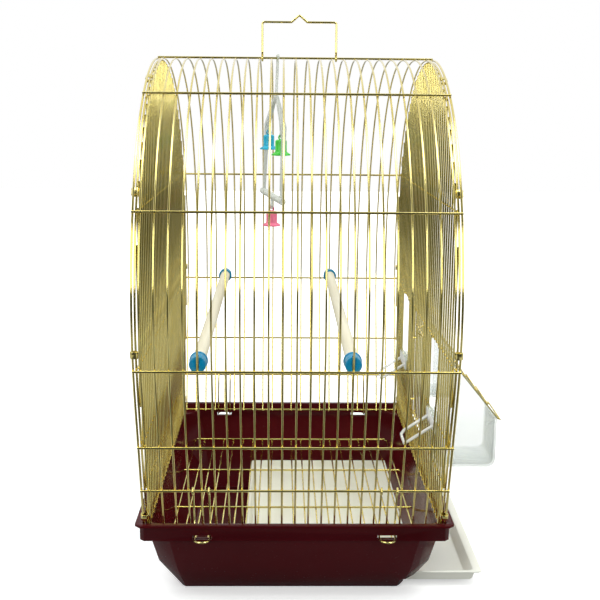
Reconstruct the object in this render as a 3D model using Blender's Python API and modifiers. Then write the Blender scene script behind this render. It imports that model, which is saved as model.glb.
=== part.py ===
"""A bird cage: an arched wire shell and two wire end panels on a plastic base tub.

The tub holds a wire floor grate and a tray that slides out on the right. The left end is plain.
The right end has two feeder cups under wire lids and a door. Inside are two perches, and a swing
with three bells. The origin is at the centre of the tub's underside, +X is the tray's side and
+Z is up. Sizes are in metres and angles in degrees.
"""

import math

import bmesh
import bpy
from mathutils import Matrix, Vector

COLLECTION = "bird_cage"
CUTTERS = "cutters"

# Clearances
GAP = 0.0003
LOOSE = 0.0002
WELD = 0.0003
TUCK = 0.0004
ROUND = 0.0008
SLACK = 1e-6

# Wires, as radii
BAR_R = 0.0009
RAIL_R = 0.0011
EDGE_R = 0.0011
PANEL_RAIL_R = 0.0008
LID_R = 0.0008
HANDLE_R = 0.0011
LATCH_R = 0.0009

# Base tub. Insets are along X and Y, each measured from the form before it
TUB_WALL = 0.0022
FLANGE_TOP = 0.0790
FLANGE_T = 0.0022
FLANGE_OVER = 0.0040
FLANGE_CORNER = 0.0050
SKIRT_OUT = (0.0030, 0.0044)
SKIRT_H = 0.0142
SKIRT_CORNER = 0.0040
MOUTH_CORNER = 0.0006
MOUTH_DEPTH = 0.0084
LEDGE_T = 0.0022
BODY_IN = (0.0048, 0.0033)
KINK_IN = (0.0087, 0.0099)
FOOT_IN = (0.0220, 0.0215)
TOP_CORNER = 0.0220
KINK_CORNER = 0.0200
FOOT_CORNER = 0.0030
KINK_Z = 0.0280
STEP_Z = 0.0120
STEP_IN = 0.0050
RUNNER_Y = 0.0900
RUNNER_W = 0.0030
RUNNER_H = 0.0025
RUNNER_END = 0.0095

# Tray: its long side runs along Y, and it is drawn out to the right
TRAY_OUT = 0.0590
TRAY_LEFT_OVER = 0.0015
TRAY_RIGHT_OVER = 0.0160
TRAY_SIDE = 0.0005
TRAY_H = 0.0100
TRAY_WALL = 0.0018
TRAY_RIM = 0.0015
TRAY_DRAFT = 0.0020
TRAY_LIP = 0.0080
TRAY_END_SLOPE = 0.0065
TRAY_CORNER = 0.0030
TRAY_PLAY = 0.0008

# Arch, followed by the shell's rails: angles above level for the high ones, heights for the low ones
ARCH_R = 0.2323
ARCH_RISE = 0.1992
LEG_LEAN = 16.1
HIGH_RAILS = {"c": -9.0, "b": 24.9, "a": 57.5}
WIDEST_TURN = 16.5
LOW_RAILS = {"d": 0.0879, "e": 0.0426, "f": 0.0}
BAR_PITCH = 0.0121
SHELL_HALF_X = 0.1400
RAIL_OVER = 0.0008

# End panels, with bar numbers counted from the middle bar
PANEL_SET = 0.0013
FEEDER_BARS = (7, 12)
DOOR_BARS = 3
OPENING_BEND = (0.4, 0.7)

# Grate
GRATE_Z = 0.0393
GRATE_IN = 0.0125
GRATE_RAILS = (-1, -1 / 3, 1 / 3, 1)

# Perches
PERCH_Z = 0.2405
PERCH_BARS = (-7, 4)
DOWEL_R = 0.0058
CAP_R = 0.0074
CAP_FLANGE_R = 0.0081
CAP_FLANGE_T = 0.0022
CAP_L = 0.0160
CAP_BORE = 0.0110
CAP_SLOT_W = 0.0024
CAP_SLOT_D = 0.0056
CAP_BITE = 0.0001

# Handle, with its feet as bar numbers, between the bars
HANDLE_FEET = (-2.8, 3.4)
HANDLE_H = 0.0355
HANDLE_PEAK = 0.0070
HANDLE_PEAK_HALF = 0.0080
HANDLE_CORNER = 0.0020
HANDLE_EYE = (150, 180, 225, 270, 315, 360, 405, 440)

# Swing, with its hook's place as a bar number
SWING_BAR = -1.5
SWING_YAW = 10.5
SWING_LEAN = -2.2
SWING_T = 0.0024
SWING_STEM_W = 0.0028
SWING_STEM_LOW = 0.0365
SWING_HALF = 0.0500
SWING_SHOULDER = 0.0705
SWING_BAND = 0.0050
SWING_BAR_DROP = 0.1405
SWING_BAR_R = 0.0035
SWING_BAR_HALF = 0.0590
HOOK_R = 0.0013
HOOK_GAP = 0.0006
LUG_R = 0.0028
LUG_HOLE_R = 0.0016
LUG_NECK = 0.0030

# Bells, as side of the swing and drop of the lug's hole under the band or bar that carries it
BELLS = {"blue": (1, 0.0132), "green": (-1, 0.0150), "pink": (0, 0.0112)}
BELL_SIDE = 0.0140
BELL_LOOP_R = 0.0023
BELL_LOOP_WIRE = 0.0007
BELL_H = 0.0155
BELL_CROWN_R = 0.0045
BELL_WAIST_R = 0.0058
BELL_MOUTH_R = 0.0095
BELL_FLARE = 0.0035
BELL_WALL = 0.0012

# Latches, at the near and far foot of the shell
LATCH_BAR = 7
LATCH_SHIFT = 0.0007
LATCH_HALF = 0.00725
LATCH_EYE = 0.0028
LATCH_OUT = 0.0018
LATCH_LOW = 0.0016
SLOT_SIDE = 0.00175
SLOT_DEPTH = 0.0068
SLOT_H = 0.0044

# Feeder cups and their wire lids
CUP_DEPTH = 0.0538
CUP_DROP = 0.0419
CUP_SIDE = 0.00225
CUP_WALL = 0.0018
CUP_ROUND = 0.0080
CUP_LIP_T = 0.0014
CUP_LIP_DROP = 0.0090
PERCH_ARM_R = 0.0016
PERCH_ARM_IN = 0.0115
PERCH_ARM_REACH = 0.0270
PERCH_ARM_DROP = 0.0190
LID_LEAN = 39.3
LID_END = 0.0035
LID_EYE = 0.0020
LID_CROSS = (0.395, 0.593, 0.769, 0.9945)
LID_OVERHANG = 0.0006

# Door in the right panel
DOOR_WIRE_R = 0.0008
DOOR_CROSS_DROP = 0.0155
DOOR_EYE = 0.0020
DOOR_EYE_INSET = 0.0150
CATCH_REACH = 0.0078
CATCH_BAR = -2.5

# Clips that bind each panel to the shell, by angle above level
CLIP_LENGTH = 0.0060
CLIP_T = 0.0008
CLIP_HIGH_ANGLES = (66.8, 29.9)
CLIP_LOW_ANGLE = -5.5
CLIP_FOOT = 0.0135

# Sizes that follow from those above
WELDED_INSET = LOOSE + WELD
BAR_INSET = RAIL_R + BAR_R + LOOSE
EDGE_INSET = BAR_INSET - WELDED_INSET
FRAME_INSET = WELDED_INSET + RAIL_R + EDGE_R + GAP + LOOSE
LEAN = math.radians(LEG_LEAN)
FOOT_Y = ARCH_R * math.cos(LEAN) - (ARCH_RISE - ARCH_R * math.sin(LEAN)) * math.tan(LEAN)

SKIRT_X = SHELL_HALF_X + SKIRT_OUT[0]
SKIRT_Y = FOOT_Y + SKIRT_OUT[1]
SKIRT_LOW = FLANGE_TOP - FLANGE_T - SKIRT_H
LEDGE_TOP = FLANGE_TOP - MOUTH_DEPTH
FLANGE_X = SKIRT_X + FLANGE_OVER
FLANGE_Y = SKIRT_Y + FLANGE_OVER
BODY_TOP = (SKIRT_X - BODY_IN[0], SKIRT_Y - BODY_IN[1], TOP_CORNER)
BODY_KINK = (BODY_TOP[0] - KINK_IN[0], BODY_TOP[1] - KINK_IN[1], KINK_CORNER)
BODY_FOOT = (BODY_KINK[0] - FOOT_IN[0], BODY_KINK[1] - FOOT_IN[1], FOOT_CORNER)
RUNNER_X = BODY_FOOT[0] - RUNNER_END
TRAY_LEFT = -BODY_FOOT[0] - TRAY_LEFT_OVER
TRAY_RIGHT = BODY_FOOT[0] + TRAY_RIGHT_OVER
TRAY_HALF_Y = BODY_FOOT[1] - TRAY_SIDE
GRATE_HALF_Y = BODY_KINK[1] - GRATE_IN

SEAT_Z = LEDGE_TOP + GAP + RAIL_R
ARCH_Z = SEAT_Z + ARCH_RISE
APEX_Z = ARCH_Z + ARCH_R - WELDED_INSET
EDGE_X = SHELL_HALF_X - RAIL_OVER

PANEL_FRAME_X = EDGE_X - 2 * EDGE_R - GAP - LOOSE
CLIP_ROOM = EDGE_R + GAP + CLIP_T + LOOSE + BAR_R
SHELL_BARS = 2 * int((PANEL_FRAME_X - CLIP_ROOM) / BAR_PITCH) + 1
PANEL_BAR_X = PANEL_FRAME_X - PANEL_SET
PANEL_RAIL_X = PANEL_BAR_X + BAR_R + PANEL_RAIL_R + LOOSE
OPEN_RAIL_X = PANEL_RAIL_X - WELDED_INSET
PANEL_HALF_Y = (ARCH_R - FRAME_INSET) * math.cos(math.radians(WIDEST_TURN / 2))
PANEL_BARS = 2 * int((PANEL_HALF_Y - CLIP_ROOM) / BAR_PITCH) + 1
DOOR_X = PANEL_BAR_X + 2 * BAR_R + GAP

SLOT_HALF = LATCH_HALF + SLOT_SIDE
SLOT_LOW = LEDGE_TOP - SLOT_DEPTH
SLOT_HIGH = SLOT_LOW + SLOT_H
LATCH_REACH = SKIRT_Y + LATCH_OUT
LATCH_Z = SLOT_LOW + LATCH_LOW

FEEDER_Y = BAR_PITCH * sum(FEEDER_BARS) / 2
CUP_HALF = BAR_PITCH * (FEEDER_BARS[1] - FEEDER_BARS[0]) / 2 - CUP_SIDE
CUP_BACK_X = PANEL_RAIL_X + PANEL_RAIL_R + GAP
CUP_FRONT_X = CUP_BACK_X + CUP_DEPTH
CUP_LOW = SEAT_Z + LOW_RAILS["d"] - CUP_DROP
PERCH_ARM_HALF = CUP_HALF - PERCH_ARM_IN
LID_LENGTH = (CUP_FRONT_X - OPEN_RAIL_X) / math.sin(math.radians(LID_LEAN)) + LID_END

GOLD = ("gold_wire", (0.60, 0.47, 0.16), 0.25, 1.0, 0.0)
MAROON = ("maroon_plastic", (0.10, 0.008, 0.012), 0.25, 0.0, 0.0)
CREAM = ("cream_plastic", (0.78, 0.76, 0.66), 0.45, 0.0, 0.0)
CLEAR = ("clear_plastic", (0.90, 0.92, 0.92), 0.08, 0.0, 0.9)
PALE = ("pale_plastic", (0.80, 0.84, 0.80), 0.30, 0.0, 0.5)
WOOD = ("pale_wood", (0.72, 0.62, 0.46), 0.60, 0.0, 0.0)
CAP_BLUE = ("cap_blue", (0.0, 0.22, 0.42), 0.35, 0.0, 0.0)
BELL_FINISH = {
    "blue": ("bell_blue", (0.0, 0.45, 0.70), 0.30, 0.0, 0.0),
    "green": ("bell_green", (0.10, 0.65, 0.06), 0.30, 0.0, 0.0),
    "pink": ("bell_pink", (0.90, 0.20, 0.35), 0.30, 0.0, 0.0),
}


def material(finish):
    """A Principled material of this name, colour, roughness, metallic value and transmission."""
    name, colour, roughness, metallic, transmission = finish
    found = bpy.data.materials.get(name)
    if found:
        return found
    made = bpy.data.materials.new(name)
    made.use_nodes = True
    made.diffuse_color = (*colour, 1.0)
    shader = made.node_tree.nodes["Principled BSDF"]
    shader.inputs["Base Color"].default_value = (*colour, 1.0)
    shader.inputs["Roughness"].default_value = roughness
    shader.inputs["Metallic"].default_value = metallic
    shader.inputs["Transmission Weight"].default_value = transmission
    return made


def collection(name):
    """The collection of this name, made and linked to the scene when it is first asked for."""
    found = bpy.data.collections.get(name)
    if found is None:
        found = bpy.data.collections.new(name)
        bpy.context.scene.collection.children.link(found)
    return found


def add(name, mesh, finish, place=None):
    """A part's object of this mesh, with its finish, at its place."""
    obj = bpy.data.objects.new(name, mesh)
    mesh.materials.clear()
    mesh.materials.append(material(finish))
    collection(COLLECTION).objects.link(obj)
    if place is not None:
        obj.matrix_world = place
    return obj


def smooth(obj, angle=40.0):
    """Smooth shading, with the edges over this angle kept sharp."""
    obj.data.shade_smooth()
    obj.data.set_sharp_from_angle(angle=math.radians(angle))


def cutter(name, mesh, place=None):
    """A hidden object that a Boolean takes away."""
    obj = bpy.data.objects.new(name, mesh)
    collection(CUTTERS).objects.link(obj)
    obj.hide_render = True
    obj.display_type = "WIRE"
    if place is not None:
        obj.matrix_world = place
    return obj


def combine(obj, other, operation, solver="EXACT"):
    """Adds a live Boolean of another mesh object to this one."""
    boolean = obj.modifiers.new(other.name, "BOOLEAN")
    boolean.operation = operation
    boolean.object = other
    boolean.solver = solver


def mesh_of(name, bm):
    """A mesh of this bmesh, with its doubles merged and its faces out. The bmesh is freed."""
    bmesh.ops.remove_doubles(bm, verts=bm.verts, dist=SLACK)
    bmesh.ops.recalc_face_normals(bm, faces=bm.faces)
    mesh = bpy.data.meshes.new(name)
    bm.to_mesh(mesh)
    bm.free()
    return mesh


def box(name, low, high):
    """A box mesh between two corners."""
    bm = bmesh.new()
    bmesh.ops.create_cube(bm, size=1.0)
    size = Vector(high) - Vector(low)
    bmesh.ops.scale(bm, vec=size, verts=bm.verts)
    bmesh.ops.translate(bm, vec=(Vector(high) + Vector(low)) / 2, verts=bm.verts)
    return mesh_of(name, bm)


def cylinder(name, radius, low, high, axis, sides):
    """A cylinder mesh from one point to another along an axis, 0 to 2."""
    bm = bmesh.new()
    bmesh.ops.create_cone(
        bm, cap_ends=True, segments=sides, radius1=radius, radius2=radius, depth=high - low
    )
    turn = {0: Matrix.Rotation(math.pi / 2, 4, "Y"), 1: Matrix.Rotation(-math.pi / 2, 4, "X")}
    bmesh.ops.transform(bm, matrix=turn.get(axis, Matrix.Identity(4)), verts=bm.verts)
    shift = Vector((0, 0, 0))
    shift[axis] = (low + high) / 2
    bmesh.ops.translate(bm, vec=shift, verts=bm.verts)
    return mesh_of(name, bm)


def wire_mesh(name, wires, resolution=0):
    """One mesh of bevelled wires. Each wire is its points, its radius and whether it is closed."""
    curve = bpy.data.curves.new(name, "CURVE")
    curve.dimensions = "3D"
    curve.twist_mode = "MINIMUM"
    curve.bevel_depth = 1.0
    curve.bevel_resolution = resolution
    curve.use_fill_caps = True
    for points, radius, closed in wires:
        spline = curve.splines.new("POLY")
        spline.points.add(len(points) - 1)
        spline.use_cyclic_u = closed
        for spot, point in zip(spline.points, points):
            spot.co = (*point, 1.0)
            spot.radius = radius
    guide = bpy.data.objects.new(name, curve)
    bpy.context.scene.collection.objects.link(guide)
    graph = bpy.context.evaluated_depsgraph_get()
    mesh = bpy.data.meshes.new_from_object(guide.evaluated_get(graph))
    bpy.data.objects.remove(guide)
    bpy.data.curves.remove(curve)
    bm = bmesh.new()
    bm.from_mesh(mesh)
    bmesh.ops.remove_doubles(bm, verts=bm.verts, dist=1e-6)
    bm.to_mesh(mesh)
    bm.free()
    return mesh


def welded(name, first, others, solver="EXACT"):
    """The Boolean union of meshes, as where crossing wires are welded."""
    obj = bpy.data.objects.new(name, first)
    bpy.context.scene.collection.objects.link(obj)
    helpers = []
    for other in others:
        helper = bpy.data.objects.new(other.name, other)
        bpy.context.scene.collection.objects.link(helper)
        combine(obj, helper, "UNION", solver)
        helpers.append(helper)
    graph = bpy.context.evaluated_depsgraph_get()
    mesh = bpy.data.meshes.new_from_object(obj.evaluated_get(graph))
    for helper in (obj, *helpers):
        bpy.data.objects.remove(helper)
    return mesh


def outline_mesh(name, outlines, thickness):
    """A flat plate of this thickness about its own XY plane. Inner outlines are holes."""
    curve = bpy.data.curves.new(name, "CURVE")
    curve.dimensions = "2D"
    curve.fill_mode = "BOTH"
    curve.extrude = thickness / 2
    for outline in outlines:
        spline = curve.splines.new("POLY")
        spline.points.add(len(outline) - 1)
        spline.use_cyclic_u = True
        for spot, point in zip(spline.points, outline):
            spot.co = (*point, 0.0, 1.0)
    guide = bpy.data.objects.new(name, curve)
    bpy.context.scene.collection.objects.link(guide)
    graph = bpy.context.evaluated_depsgraph_get()
    mesh = bpy.data.meshes.new_from_object(guide.evaluated_get(graph))
    bpy.data.objects.remove(guide)
    bpy.data.curves.remove(curve)
    bm = bmesh.new()
    bm.from_mesh(mesh)
    bmesh.ops.remove_doubles(bm, verts=bm.verts, dist=1e-6)
    bmesh.ops.recalc_face_normals(bm, faces=bm.faces)
    bm.to_mesh(mesh)
    bm.free()
    return mesh


def arc(centre, radius, start, end, steps):
    """Points on an arc between two angles, both ends included."""
    turns = [math.radians(start + (end - start) * i / steps) for i in range(steps + 1)]
    return [(centre[0] + radius * math.cos(t), centre[1] + radius * math.sin(t)) for t in turns]


def on_arch(angle, inset=0.0):
    """Half depth and height of the arch at an angle above level, moved inwards by inset."""
    turn = math.radians(angle)
    return (ARCH_R - inset) * math.cos(turn), ARCH_Z + (ARCH_R - inset) * math.sin(turn)


def on_leg(height, inset=0.0):
    """Half depth and height of the straight leg at a height above the seat."""
    depth, top = on_arch(-LEG_LEAN, inset)
    z = SEAT_Z + height
    return depth - (top - z) * math.tan(LEAN), z


def corner_angles():
    """Angles of the arch's corners, from the top of the leg to the apex, one at each rail."""
    angles = [-LEG_LEAN, min(HIGH_RAILS.values())]
    ends = [*list(HIGH_RAILS.values())[1:], 90.0]
    for start, end in zip(HIGH_RAILS.values(), ends):
        steps = math.ceil((end - start) / WIDEST_TURN)
        angles += [start + (end - start) * step / steps for step in range(1, steps + 1)]
    return angles


def on_chord(angle, inset):
    """Outward angle, half depth and height of the arch's straight piece that an angle meets."""
    angles = corner_angles()
    for low, high in zip(angles, angles[1:]):
        if low <= angle <= high:
            square = (low + high) / 2
            middle = (ARCH_R - inset) * math.cos(math.radians((high - low) / 2))
            reach = middle / math.cos(math.radians(angle - square))
            turn = math.radians(angle)
            return square, reach * math.cos(turn), ARCH_Z + reach * math.sin(turn)


def half_profile(inset, foot):
    """Points of half the arch from its foot to its top."""
    return [on_leg(foot, inset), *(on_arch(angle, inset) for angle in corner_angles())]


def arch_path(x, inset, foot):
    """The whole arch at x, from its near foot over the top to its far foot."""
    half = half_profile(inset, foot)
    near = [(x, -y, z) for y, z in half]
    far = [(x, y, z) for y, z in reversed(half[:-1])]
    return near + far


def rail_places():
    """Half depth and height of each shell rail under the apex, by its letter."""
    places = {name: on_arch(angle) for name, angle in HIGH_RAILS.items()}
    for name, height in LOW_RAILS.items():
        places[name] = on_leg(height, WELDED_INSET if name == "f" else 0.0)
    return places


def bar_x(index):
    """Place of a numbered bar, counted from the middle one."""
    return index * BAR_PITCH


def ring(low_x, high_x, half_y, corner, z):
    """Corners of a rectangle with cut corners, in order round it."""
    spots = []
    for x, y, sx, sy in (
        (high_x, half_y, 1, 1),
        (low_x, half_y, -1, 1),
        (low_x, -half_y, -1, -1),
        (high_x, -half_y, 1, -1),
    ):
        pair = [(x, y - sy * corner, z), (x - sx * corner, y, z)]
        spots += pair if sx == sy else reversed(pair)
    return spots


def vessel_mesh(name, outside, inside):
    """Skin of an open vessel: rings from its rim down the outside, then rings up the inside."""
    bm = bmesh.new()
    rows = [[bm.verts.new(point) for point in points] for points in outside + inside]
    bottom = len(outside) - 1
    pairs = [pair for i, pair in enumerate(zip(rows, rows[1:])) if i != bottom]
    pairs.append((rows[-1], rows[0]))
    for low, high in pairs:
        for i in range(len(low)):
            j = (i + 1) % len(low)
            bm.faces.new((low[i], low[j], high[j], high[i]))
    bm.faces.new(rows[bottom])
    bm.faces.new(rows[bottom + 1])
    return mesh_of(name, bm)


def body_section(z):
    """Half widths and corner cut of the tub's body outside, at a height."""
    if z >= KINK_Z:
        low, high, share = BODY_KINK, BODY_TOP, (z - KINK_Z) / (SKIRT_LOW - KINK_Z)
    else:
        low, high, share = BODY_FOOT, BODY_KINK, z / KINK_Z
    return [a + (b - a) * min(share, 1.0) for a, b in zip(low, high)]


def body_ring(z, inside, stepped):
    """The tub's body at a height, outside or inside its wall, stepped in on the tray's side."""
    x, y, corner = body_section(z)
    wall = TUB_WALL if inside else 0.0
    cut = max(corner - wall * (2 - math.sqrt(2)), 0.001)
    right = x - wall - (STEP_IN if stepped else 0.0)
    return ring(wall - x, right, y - wall, cut, z)


def make_tub():
    """Base tub: two-slope body, ledge for the wires, skirt and flange round its mouth."""
    groove_top = LEDGE_TOP - LEDGE_T
    flange_low = FLANGE_TOP - FLANGE_T
    skirt_in = (SKIRT_X - TUB_WALL, SKIRT_Y - TUB_WALL, MOUTH_CORNER)
    body_mouth = body_ring(SKIRT_LOW, True, False)

    def square(x, y, corner, z):
        return ring(-x, x, y, corner, z)

    outside = [
        square(FLANGE_X, FLANGE_Y, FLANGE_CORNER, FLANGE_TOP),
        square(FLANGE_X, FLANGE_Y, FLANGE_CORNER, flange_low),
        square(SKIRT_X, SKIRT_Y, SKIRT_CORNER, flange_low),
        square(SKIRT_X, SKIRT_Y, SKIRT_CORNER, SKIRT_LOW),
        square(*skirt_in, SKIRT_LOW),
        square(*skirt_in, groove_top),
        square(*BODY_TOP, groove_top),
        body_ring(SKIRT_LOW, False, False),
        body_ring(KINK_Z, False, False),
        body_ring(STEP_Z, False, False),
        body_ring(STEP_Z - ROUND, False, True),
        body_ring(0.0, False, True),
    ]
    inside = [
        body_ring(TUB_WALL, True, True),
        body_ring(STEP_Z + TUB_WALL - ROUND, True, True),
        body_ring(STEP_Z + TUB_WALL, True, False),
        body_ring(KINK_Z, True, False),
        body_mouth,
        [(x, y, LEDGE_TOP) for x, y, _ in body_mouth],
        square(*skirt_in, LEDGE_TOP),
        square(*skirt_in, FLANGE_TOP),
    ]
    tub = add("base_tub", vessel_mesh("base_tub", outside, inside), MAROON)

    for side, y in (("near", -RUNNER_Y), ("far", RUNNER_Y)):
        low = (-RUNNER_X, y - RUNNER_W / 2, TUB_WALL / 2)
        high = (RUNNER_X, y + RUNNER_W / 2, TUB_WALL + RUNNER_H)
        runner = cutter(f"runner_{side}", box(f"runner_{side}", low, high))
        combine(tub, runner, "UNION")

    tray_low = TUB_WALL + RUNNER_H
    mouth_y = TRAY_HALF_Y + TRAY_PLAY
    low = (RUNNER_X, -mouth_y, tray_low - GAP)
    high = (FLANGE_X, mouth_y, tray_low + GAP + TRAY_H + TRAY_PLAY)
    combine(tub, cutter("tray_slot", box("tray_slot", low, high)), "DIFFERENCE")

    for x_side in (-1, 1):
        for y_side in (-1, 1):
            x = x_side * latch_x()
            ends = sorted((y_side * (BODY_TOP[1] - 2 * TUB_WALL), y_side * FLANGE_Y))
            low = (x - SLOT_HALF, ends[0], SLOT_LOW)
            high = (x + SLOT_HALF, ends[1], SLOT_HIGH)
            name = f"latch_slot_{'left' if x_side < 0 else 'right'}_{'near' if y_side < 0 else 'far'}"
            combine(tub, cutter(name, box(name, low, high)), "DIFFERENCE")
    return tub


def latch_x():
    """Place of a latch's middle, on either side."""
    return bar_x(LATCH_BAR) + LATCH_SHIFT


def make_tray():
    """Shallow tray with drafted walls, narrow long rims and a wide grip lip at the right."""
    low = TUB_WALL + RUNNER_H + GAP
    top = low + TRAY_H
    under = top - TRAY_WALL
    left = TRAY_LEFT
    right = TRAY_RIGHT
    y = TRAY_HALF_Y
    lip_in = right - TRAY_LIP
    thin = TRAY_WALL
    corner = TRAY_CORNER
    rim_foot = TRAY_RIM + TRAY_DRAFT
    outside = [
        ring(left, right, y, corner, top),
        ring(left, right, y, corner, under),
        ring(left + TRAY_RIM, lip_in + thin, y - TRAY_RIM, corner, under),
        ring(left + rim_foot, lip_in + thin - TRAY_DRAFT, y - rim_foot, corner, low),
    ]
    edge = TRAY_RIM + thin
    foot = edge + TRAY_DRAFT
    inside = [
        ring(left + foot, lip_in - TRAY_END_SLOPE, y - foot, corner, low + thin),
        ring(left + edge, lip_in, y - edge, corner, top),
    ]
    place = Matrix.Translation((TRAY_OUT, 0, 0))
    return add("tray", vessel_mesh("tray", outside, inside), CREAM, place)


def wall_x(y, z):
    """Inner half width of the tub at a half depth and height, corner cut included."""
    x, half_y, corner = body_section(z)
    cut = corner - TUB_WALL * (2 - math.sqrt(2))
    over = max(abs(y) - (half_y - TUB_WALL - cut), 0.0)
    return x - TUB_WALL - over


def make_grate():
    """Floor grate: wires along Y welded under four rails, whose ends bear on the tub's walls."""
    reach = GRATE_HALF_Y + BAR_R
    wire_z = GRATE_Z - RAIL_R - BAR_R + WELD
    end = wall_x(GRATE_HALF_Y + RAIL_R, GRATE_Z - RAIL_R) - GAP
    half = int((end - BAR_R) / BAR_PITCH)
    wires = []
    for index in range(-half, half + 1):
        x = bar_x(index)
        wires.append(([(x, -reach, wire_z), (x, reach, wire_z)], BAR_R, False))
    rails = []
    for y in (share * GRATE_HALF_Y for share in GRATE_RAILS):
        end = wall_x(abs(y) + RAIL_R, GRATE_Z - RAIL_R) - GAP
        rails.append(([(-end, y, GRATE_Z), (end, y, GRATE_Z)], RAIL_R, False))
    mesh = welded("grate", wire_mesh("grate_wires", wires), [wire_mesh("grate_rails", rails)])
    return add("grate", mesh, GOLD)


def make_shell():
    """Front, top and back in one: bent bars, rails along X outside them and two edge wires."""
    half = SHELL_BARS // 2
    bars = [(arch_path(bar_x(i), BAR_INSET, -BAR_R), BAR_R, False) for i in range(-half, half + 1)]
    for x in (-EDGE_X, EDGE_X):
        bars.append((arch_path(x, EDGE_INSET, -BAR_R), EDGE_R, False))
    spots = [(0.0, APEX_Z)]
    for y, z in rail_places().values():
        spots += [(-y, z), (y, z)]
    ends = (-SHELL_HALF_X, SHELL_HALF_X)
    rails = [([(x, y, z) for x in ends], RAIL_R, False) for y, z in spots]
    mesh = welded("wire_shell", wire_mesh("bars", bars), [wire_mesh("rails", rails)])
    return add("wire_shell", mesh, GOLD)


def frame_span(y):
    """Lowest and highest height of the panel's frame at y, read along its straight pieces."""
    half = half_profile(FRAME_INSET, 0.0)
    depth = abs(y)
    found = []
    for (y1, z1), (y2, z2) in zip(half, half[1:]):
        if min(y1, y2) - SLACK <= depth <= max(y1, y2) and y1 != y2:
            found.append(z1 + (z2 - z1) * (depth - y1) / (y2 - y1))
    return (SEAT_Z if depth <= half[0][0] else min(found)), max(found)


def frame_depth(z):
    """Half depth of the panel's frame at height z, read along its straight pieces."""
    half = half_profile(FRAME_INSET, 0.0)
    for (y1, z1), (y2, z2) in zip(half, half[1:]):
        if z1 <= z <= z2:
            return y1 + (y2 - y1) * (z - z1) / (z2 - z1)
    return half[0][0]


def panel_openings(right):
    """Bar numbers and rail letters that bound each opening of an end panel."""
    if not right:
        return []
    low, high = FEEDER_BARS
    return [(-high, -low, "d", "c"), (low, high, "d", "c"), (-DOOR_BARS, DOOR_BARS, "e", "c")]


def make_panel(name, side, openings):
    """Flat end panel: a bent frame wire, upright bars inside it and rails welded to the frame."""
    rails = {letter: spot[1] for letter, spot in rail_places().items() if letter != "f"}
    bars = []
    half = PANEL_BARS // 2
    for index in range(-half, half + 1):
        y = bar_x(index)
        low, high = frame_span(y)
        low -= TUCK
        high += TUCK
        stops = [low, high]
        for first, last, sill, lintel in openings:
            if first < index < last:
                stops = [low, rails[sill], rails[lintel], high]
        for start, end in zip(stops[::2], stops[1::2]):
            bars.append(([(side * PANEL_BAR_X, y, z) for z in (start, end)], BAR_R, False))
    level = []
    for letter, z in rails.items():
        end = frame_depth(z) + TUCK
        spans = [(-end, end)]
        if openings and letter == "d":
            jamb = bar_x(DOOR_BARS + 1)
            spans = [(-end, -jamb), (jamb, end)]
        bounded = [opening[:2] for opening in openings if letter in opening[2:]]
        for start, stop in spans:
            level.append((rail_path(side, z, start, stop, bounded), PANEL_RAIL_R, False))
    frame = arch_path(side * PANEL_FRAME_X, FRAME_INSET, 0.0)
    others = [wire_mesh(name + "_frame", [(frame, EDGE_R, True)]), wire_mesh(name + "_rails", level)]
    # The exact solver leaves open edges where a bar, a rail and the frame meet in one corner.
    mesh = welded(name, wire_mesh(name + "_bars", bars), others, "MANIFOLD")
    return add(name, mesh, GOLD)


def rail_path(side, z, start, stop, bounded):
    """A panel rail that steps in along each opening that it bounds, to meet the cut bars."""
    path = [(side * PANEL_RAIL_X, start, z)]
    near, far = OPENING_BEND
    for first, last in sorted(bounded):
        if start < bar_x(first) and bar_x(last) < stop:
            steps = ((first - far, False), (first - near, True), (last + near, True), (last + far, False))
            for place, stepped in steps:
                path.append((side * (OPEN_RAIL_X if stepped else PANEL_RAIL_X), bar_x(place), z))
    path.append((side * PANEL_RAIL_X, stop, z))
    return path


def make_clip(name, side, y_side, angle, depth, height):
    """Pressed band round the panel's frame wire and the shell's edge wire."""
    middle_x = (PANEL_FRAME_X + EDGE_X) / 2
    inner_x = (EDGE_X - PANEL_FRAME_X) / 2 + EDGE_R + GAP
    inner_y = (FRAME_INSET - EDGE_INSET) / 2 + EDGE_R + GAP
    outer_x = inner_x + CLIP_T
    outer_y = inner_y + CLIP_T
    cut = 2 * CLIP_T
    outer = [spot[:2] for spot in ring(-outer_x, outer_x, outer_y, cut, 0.0)]
    inner_cut = cut - CLIP_T * (2 - math.sqrt(2))
    inner = [spot[:2] for spot in ring(-inner_x, inner_x, inner_y, inner_cut, 0.0)]
    mesh = outline_mesh(name, [outer, inner], CLIP_LENGTH)
    turn = math.radians(angle)
    outward = Vector((0, y_side * math.cos(turn), math.sin(turn)))
    along = Vector((1, 0, 0)).cross(outward)
    frame = Matrix((Vector((1, 0, 0)), outward, along)).transposed().to_4x4()
    place = Matrix.Translation((side * middle_x, y_side * depth, height)) @ frame
    return add(name, mesh, GOLD, place)


def make_clips():
    """Four clips at each upright corner of the cage, from the top down."""
    inset = (FRAME_INSET + EDGE_INSET) / 2
    radius = ARCH_R - inset
    angles = [CLIP_LOW_ANGLE]
    for angle in CLIP_HIGH_ANGLES:
        between = int(radius * math.cos(math.radians(angle)) / BAR_PITCH) + 0.5
        angles.insert(-1, math.degrees(math.acos(bar_x(between) / radius)))
    spots = [on_chord(angle, inset) for angle in angles]
    spots.append((-LEG_LEAN, *on_leg(CLIP_FOOT, inset)))
    for x_name, side in (("left", -1), ("right", 1)):
        for y_name, y_side in (("near", -1), ("far", 1)):
            for number, (angle, depth, height) in enumerate(spots, 1):
                name = f"clip_{x_name}_{y_name}_{number}"
                make_clip(name, side, y_side, angle, depth, height)


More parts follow.
